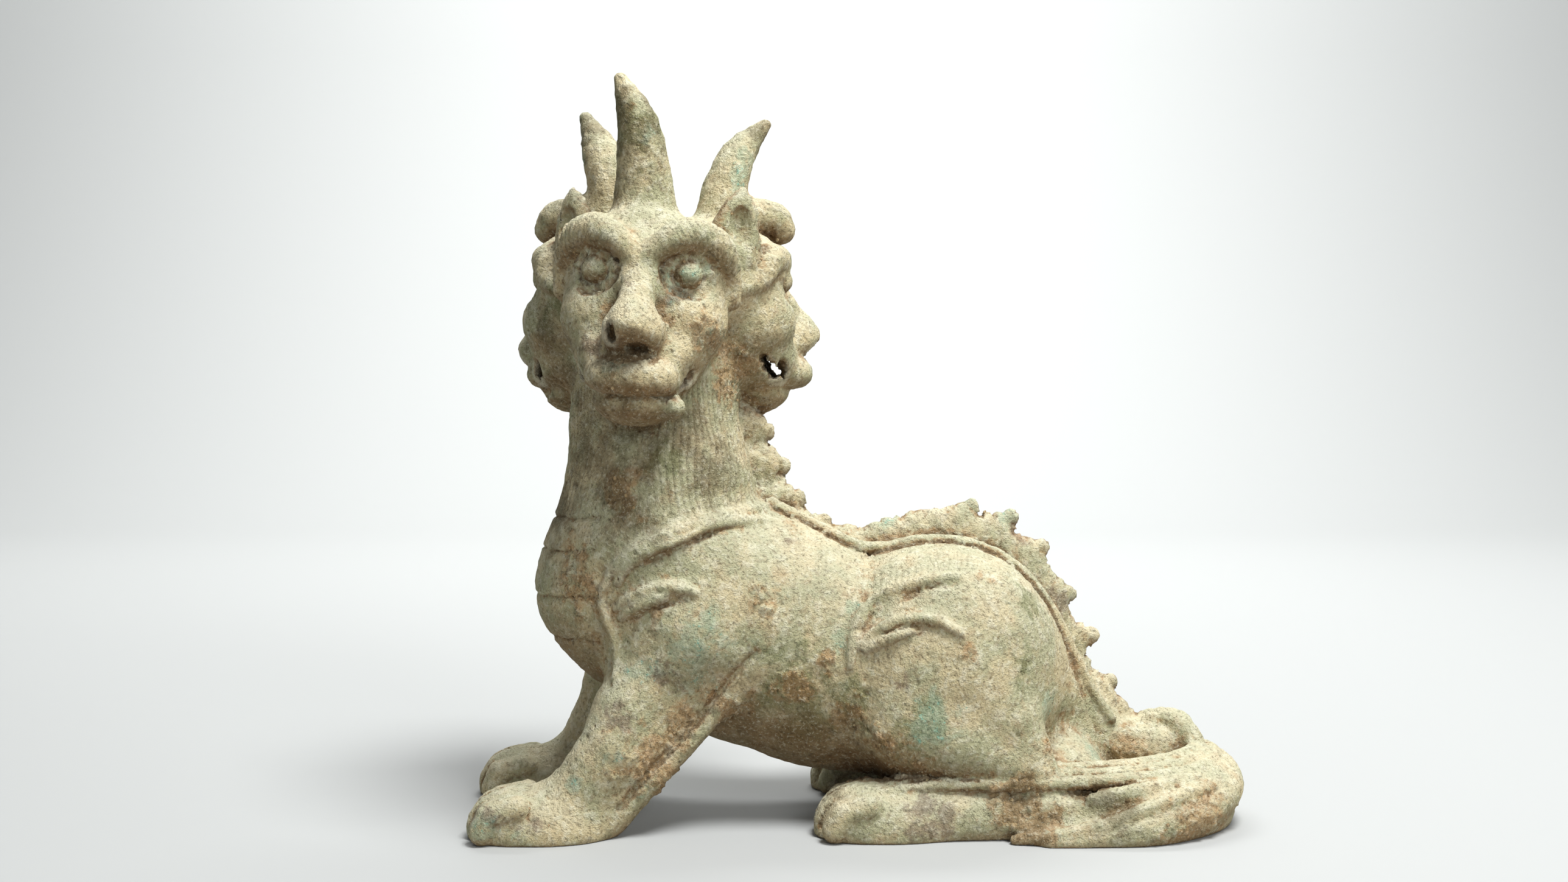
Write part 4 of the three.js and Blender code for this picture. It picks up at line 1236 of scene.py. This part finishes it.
def baked(piece):
    """Replaces a piece's mesh by what its modifiers make of it, and removes them."""
    graph = bpy.context.evaluated_depsgraph_get()
    mesh = bpy.data.meshes.new_from_object(piece.evaluated_get(graph), depsgraph=graph)
    piece.modifiers.clear()
    old, piece.data = piece.data, mesh
    bpy.data.meshes.remove(old)
    mesh.name = piece.name


statue.modifiers.new("Cast skin", "NODES").node_group = cast_skin_tree(crusted_bronze)
baked(statue)
report("cast skin")

# %% [markdown]
# The grid gives several hundred thousand faces, most of them on plain ground. Decimate keeps them where
# the surface bends. Vertices that end up a little below the ground are set on it. The marks are then
# worked out again on the vertices that are left.

# %% Fewer faces
MOST_TRIANGLES = 192_000
fewer = statue.modifiers.new("Fewer", "DECIMATE")
fewer.ratio = MOST_TRIANGLES / (2 * len(quads))
baked(statue)
statue.data.shade_smooth()

places = np.empty(3 * len(statue.data.vertices), np.float32)
statue.data.vertices.foreach_get("co", places)
places = places.reshape(-1, 3).astype(float) * PER_METRE + MIDDLE
places[places[:, 2] < 0, 2] = 0
statue.data.vertices.foreach_set("co", in_metres(places))
write_marks(statue.data, weathering(places))
triangles = sum(len(face.vertices) - 2 for face in statue.data.polygons)
report("statue:", triangles, "triangles")

# %% [markdown]
# ## Crumbs of earth
#
# Loose grains of soil still cling where the crust is thick. They are many and alike, so Geometry Nodes
# scatter one small lump over the statue, more thickly where the marks say earth, each with its own size
# and turn. The seed is fixed, and the instances are realized into a mesh of their own.

# %% Crumb tree
CRUMBS = {"Crumbs per square metre": 90000.0, "Smallest": 0.00025, "Largest": 0.0009, "Seed": 11}
LUMP_SEED, SIZE_SEED = 5, 3


def crumb_lump():
    """A rough little ball, one metre in radius, which the tree makes small."""
    rough = np.random.default_rng(LUMP_SEED)
    bpy.ops.mesh.primitive_ico_sphere_add(subdivisions=1, radius=1)
    ball = bpy.context.object
    for vertex in ball.data.vertices:
        vertex.co *= 1 + rough.uniform(-0.25, 0.2)
    ball.name = "crumb_lump"
    return ball


def crumb_tree(lump, material):
    tree, w, given = geometry_tree("Earth crumbs", CRUMBS)
    place = w.node("GeometryNodeInputPosition").outputs[0]
    noise = w.node("ShaderNodeTexNoise", {"Vector": place, "Scale": 120.0, "Detail": 3.0}).outputs[0]
    crust = w.larger(w.mark("earth"), w.times(w.mark("hollow"), 0.7))
    share = w.ease(w.plus(w.times(crust, 0.5), w.times(noise, 0.7)), 0.5, 0.85)
    share = w.times(share, w.ground_fade(place, 0.001, 0.004))
    open_ground = w.minus(1.0, w.times(w.larger(w.mark("hollow"), w.mark("dark")), 0.8))
    density = w.times(w.times(share, given["Crumbs per square metre"]), open_ground)
    inputs = {"Mesh": given["Geometry"], "Density": density, "Seed": given["Seed"]}
    spots = w.node("GeometryNodeDistributePointsOnFaces", inputs)
    lump_info = w.node("GeometryNodeObjectInfo", {"Object": lump})
    inputs = {"Min": 0.0, "Max": 1.0, "Seed": SIZE_SEED}
    size = w.node("FunctionNodeRandomValue", inputs, data_type="FLOAT").outputs[1]
    size = w.times(w.math("POWER", size, 2.5), w.minus(given["Largest"], given["Smallest"]))
    size = w.plus(given["Smallest"], size)
    inputs = {
        "Points": spots.outputs["Points"],
        "Instance": lump_info.outputs["Geometry"],
        "Rotation": spots.outputs["Rotation"],
        "Scale": size,
    }
    give_out(w, w.node("GeometryNodeInstanceOnPoints", inputs).outputs[0], material)
    return tree


soil = patina_material("clinging_soil", {"earth": 0.9, "hollow": 0.5})
lump = crumb_lump()
crumbs = linked("earth_crumbs", statue.data.copy())
crumbs.modifiers.new("Earth crumbs", "NODES").node_group = crumb_tree(lump, soil)
baked(crumbs)
bpy.data.objects.remove(lump)
report("crumbs:", len(crumbs.data.polygons), "faces")

# %% [markdown]
# ## Floor, light and camera
#
# The statue stands on a plain pale floor that curves up into a backdrop, so that no edge shows. The
# light is a bright even room with a large soft lamp above, a weaker one ahead on the right, and one
# that washes the backdrop. The camera stands where the photograph's did: a little above the middle of
# the beast and about twice its length away.

# %% Floor and backdrop
FRONT, BEND, BEND_RADIUS, TOP, HALF_WIDTH = -2.5, 1.2, 0.8, 3.5, 4.0  # metres
PALE_PAPER = (166, 168, 167)


def sweep():
    """A floor that runs back to the bend, turns upwards there and goes on up to the top."""
    profile = [(FRONT, 0.0), (BEND, 0.0)]
    for a in np.linspace(0.1, math.pi / 2, 14):
        profile.append((BEND + BEND_RADIUS * math.sin(a), BEND_RADIUS - BEND_RADIUS * math.cos(a)))
    profile.append((BEND + BEND_RADIUS, TOP))
    places = [(x, y, z) for y, z in profile for x in (-HALF_WIDTH, HALF_WIDTH)]
    faces = [(2 * i, 2 * i + 1, 2 * i + 3, 2 * i + 2) for i in range(len(profile) - 1)]
    mesh = bpy.data.meshes.new("pale_sweep")
    mesh.from_pydata(places, [], faces)
    mesh.shade_smooth()
    return linked("pale_sweep", mesh)


backdrop = sweep()
paper = bpy.data.materials.new("pale_paper")
paper.use_nodes = True
paper.node_tree.nodes["Principled BSDF"].inputs["Base Color"].default_value = rgb(*PALE_PAPER)
paper.node_tree.nodes["Principled BSDF"].inputs["Roughness"].default_value = 0.9
backdrop.data.materials.append(paper)
print("backdrop:", len(backdrop.data.polygons), "faces")

# %% Lights
ROOM_COLOUR, ROOM_STRENGTH = (0.97, 0.98, 1.0, 1.0), 0.27
LAMPS = {  # where it hangs, what it points at, its width in metres and its power in watts
    "overhead": ((0.3, -0.33, 1.25), (0.0, 0.0, 0.1), 0.5, 24.6),
    "front": ((0.7, -1.3, 0.8), (0.0, 0.0, 0.12), 0.7, 9.5),
    "backdrop_wash": ((0.0, 0.9, 1.7), (0.0, 2.0, 0.8), 1.6, 71.0),
}


def soft_lamp(name, place, aim, size, power):
    lamp = bpy.data.lights.new(name, "AREA")
    lamp.shape = "DISK"
    lamp.size = size
    lamp.energy = power
    holder = linked(name, lamp)
    holder.location = place
    holder.rotation_euler = (Vector(aim) - Vector(place)).to_track_quat("-Z", "Y").to_euler()


world = bpy.data.worlds.new("bright_room")
world.use_nodes = True
world.node_tree.nodes["Background"].inputs["Color"].default_value = ROOM_COLOUR
world.node_tree.nodes["Background"].inputs["Strength"].default_value = ROOM_STRENGTH
bpy.context.scene.world = world
for name, setting in LAMPS.items():
    soft_lamp(name, *setting)
bpy.context.scene.view_settings.view_transform = "Standard"
print("lamps:", len(LAMPS))

# %% Camera
CAMERA_DISTANCE, CAMERA_HEIGHT = 620, 165  # millimetres in the clay's frame
TILT = math.radians(1.853)
PHOTO_WIDTH, FOCAL_LENGTH = 2576, 2612  # pixels
SENSOR = 36

camera = bpy.data.cameras.new("camera")
camera.sensor_width = SENSOR
camera.lens = SENSOR * FOCAL_LENGTH / PHOTO_WIDTH
camera.clip_start = 0.01
view_point = linked("camera", camera)
view_point.location = (Vector((0, -CAMERA_DISTANCE, CAMERA_HEIGHT)) - Vector(MIDDLE)) / PER_METRE
view_point.rotation_euler = (math.pi / 2 - TILT, 0, 0)
bpy.context.scene.camera = view_point
print("camera:", round(camera.lens, 2), "mm lens at", [round(c, 3) for c in view_point.location])

# %% [markdown]
# ## Fastening to the frame
#
# Both pieces belong to the one body that never moves, and together they stand for the one solid.

# %% Hand over
for piece in (statue, crumbs):
    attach(piece, "root")
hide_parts("xiezhi_statue")
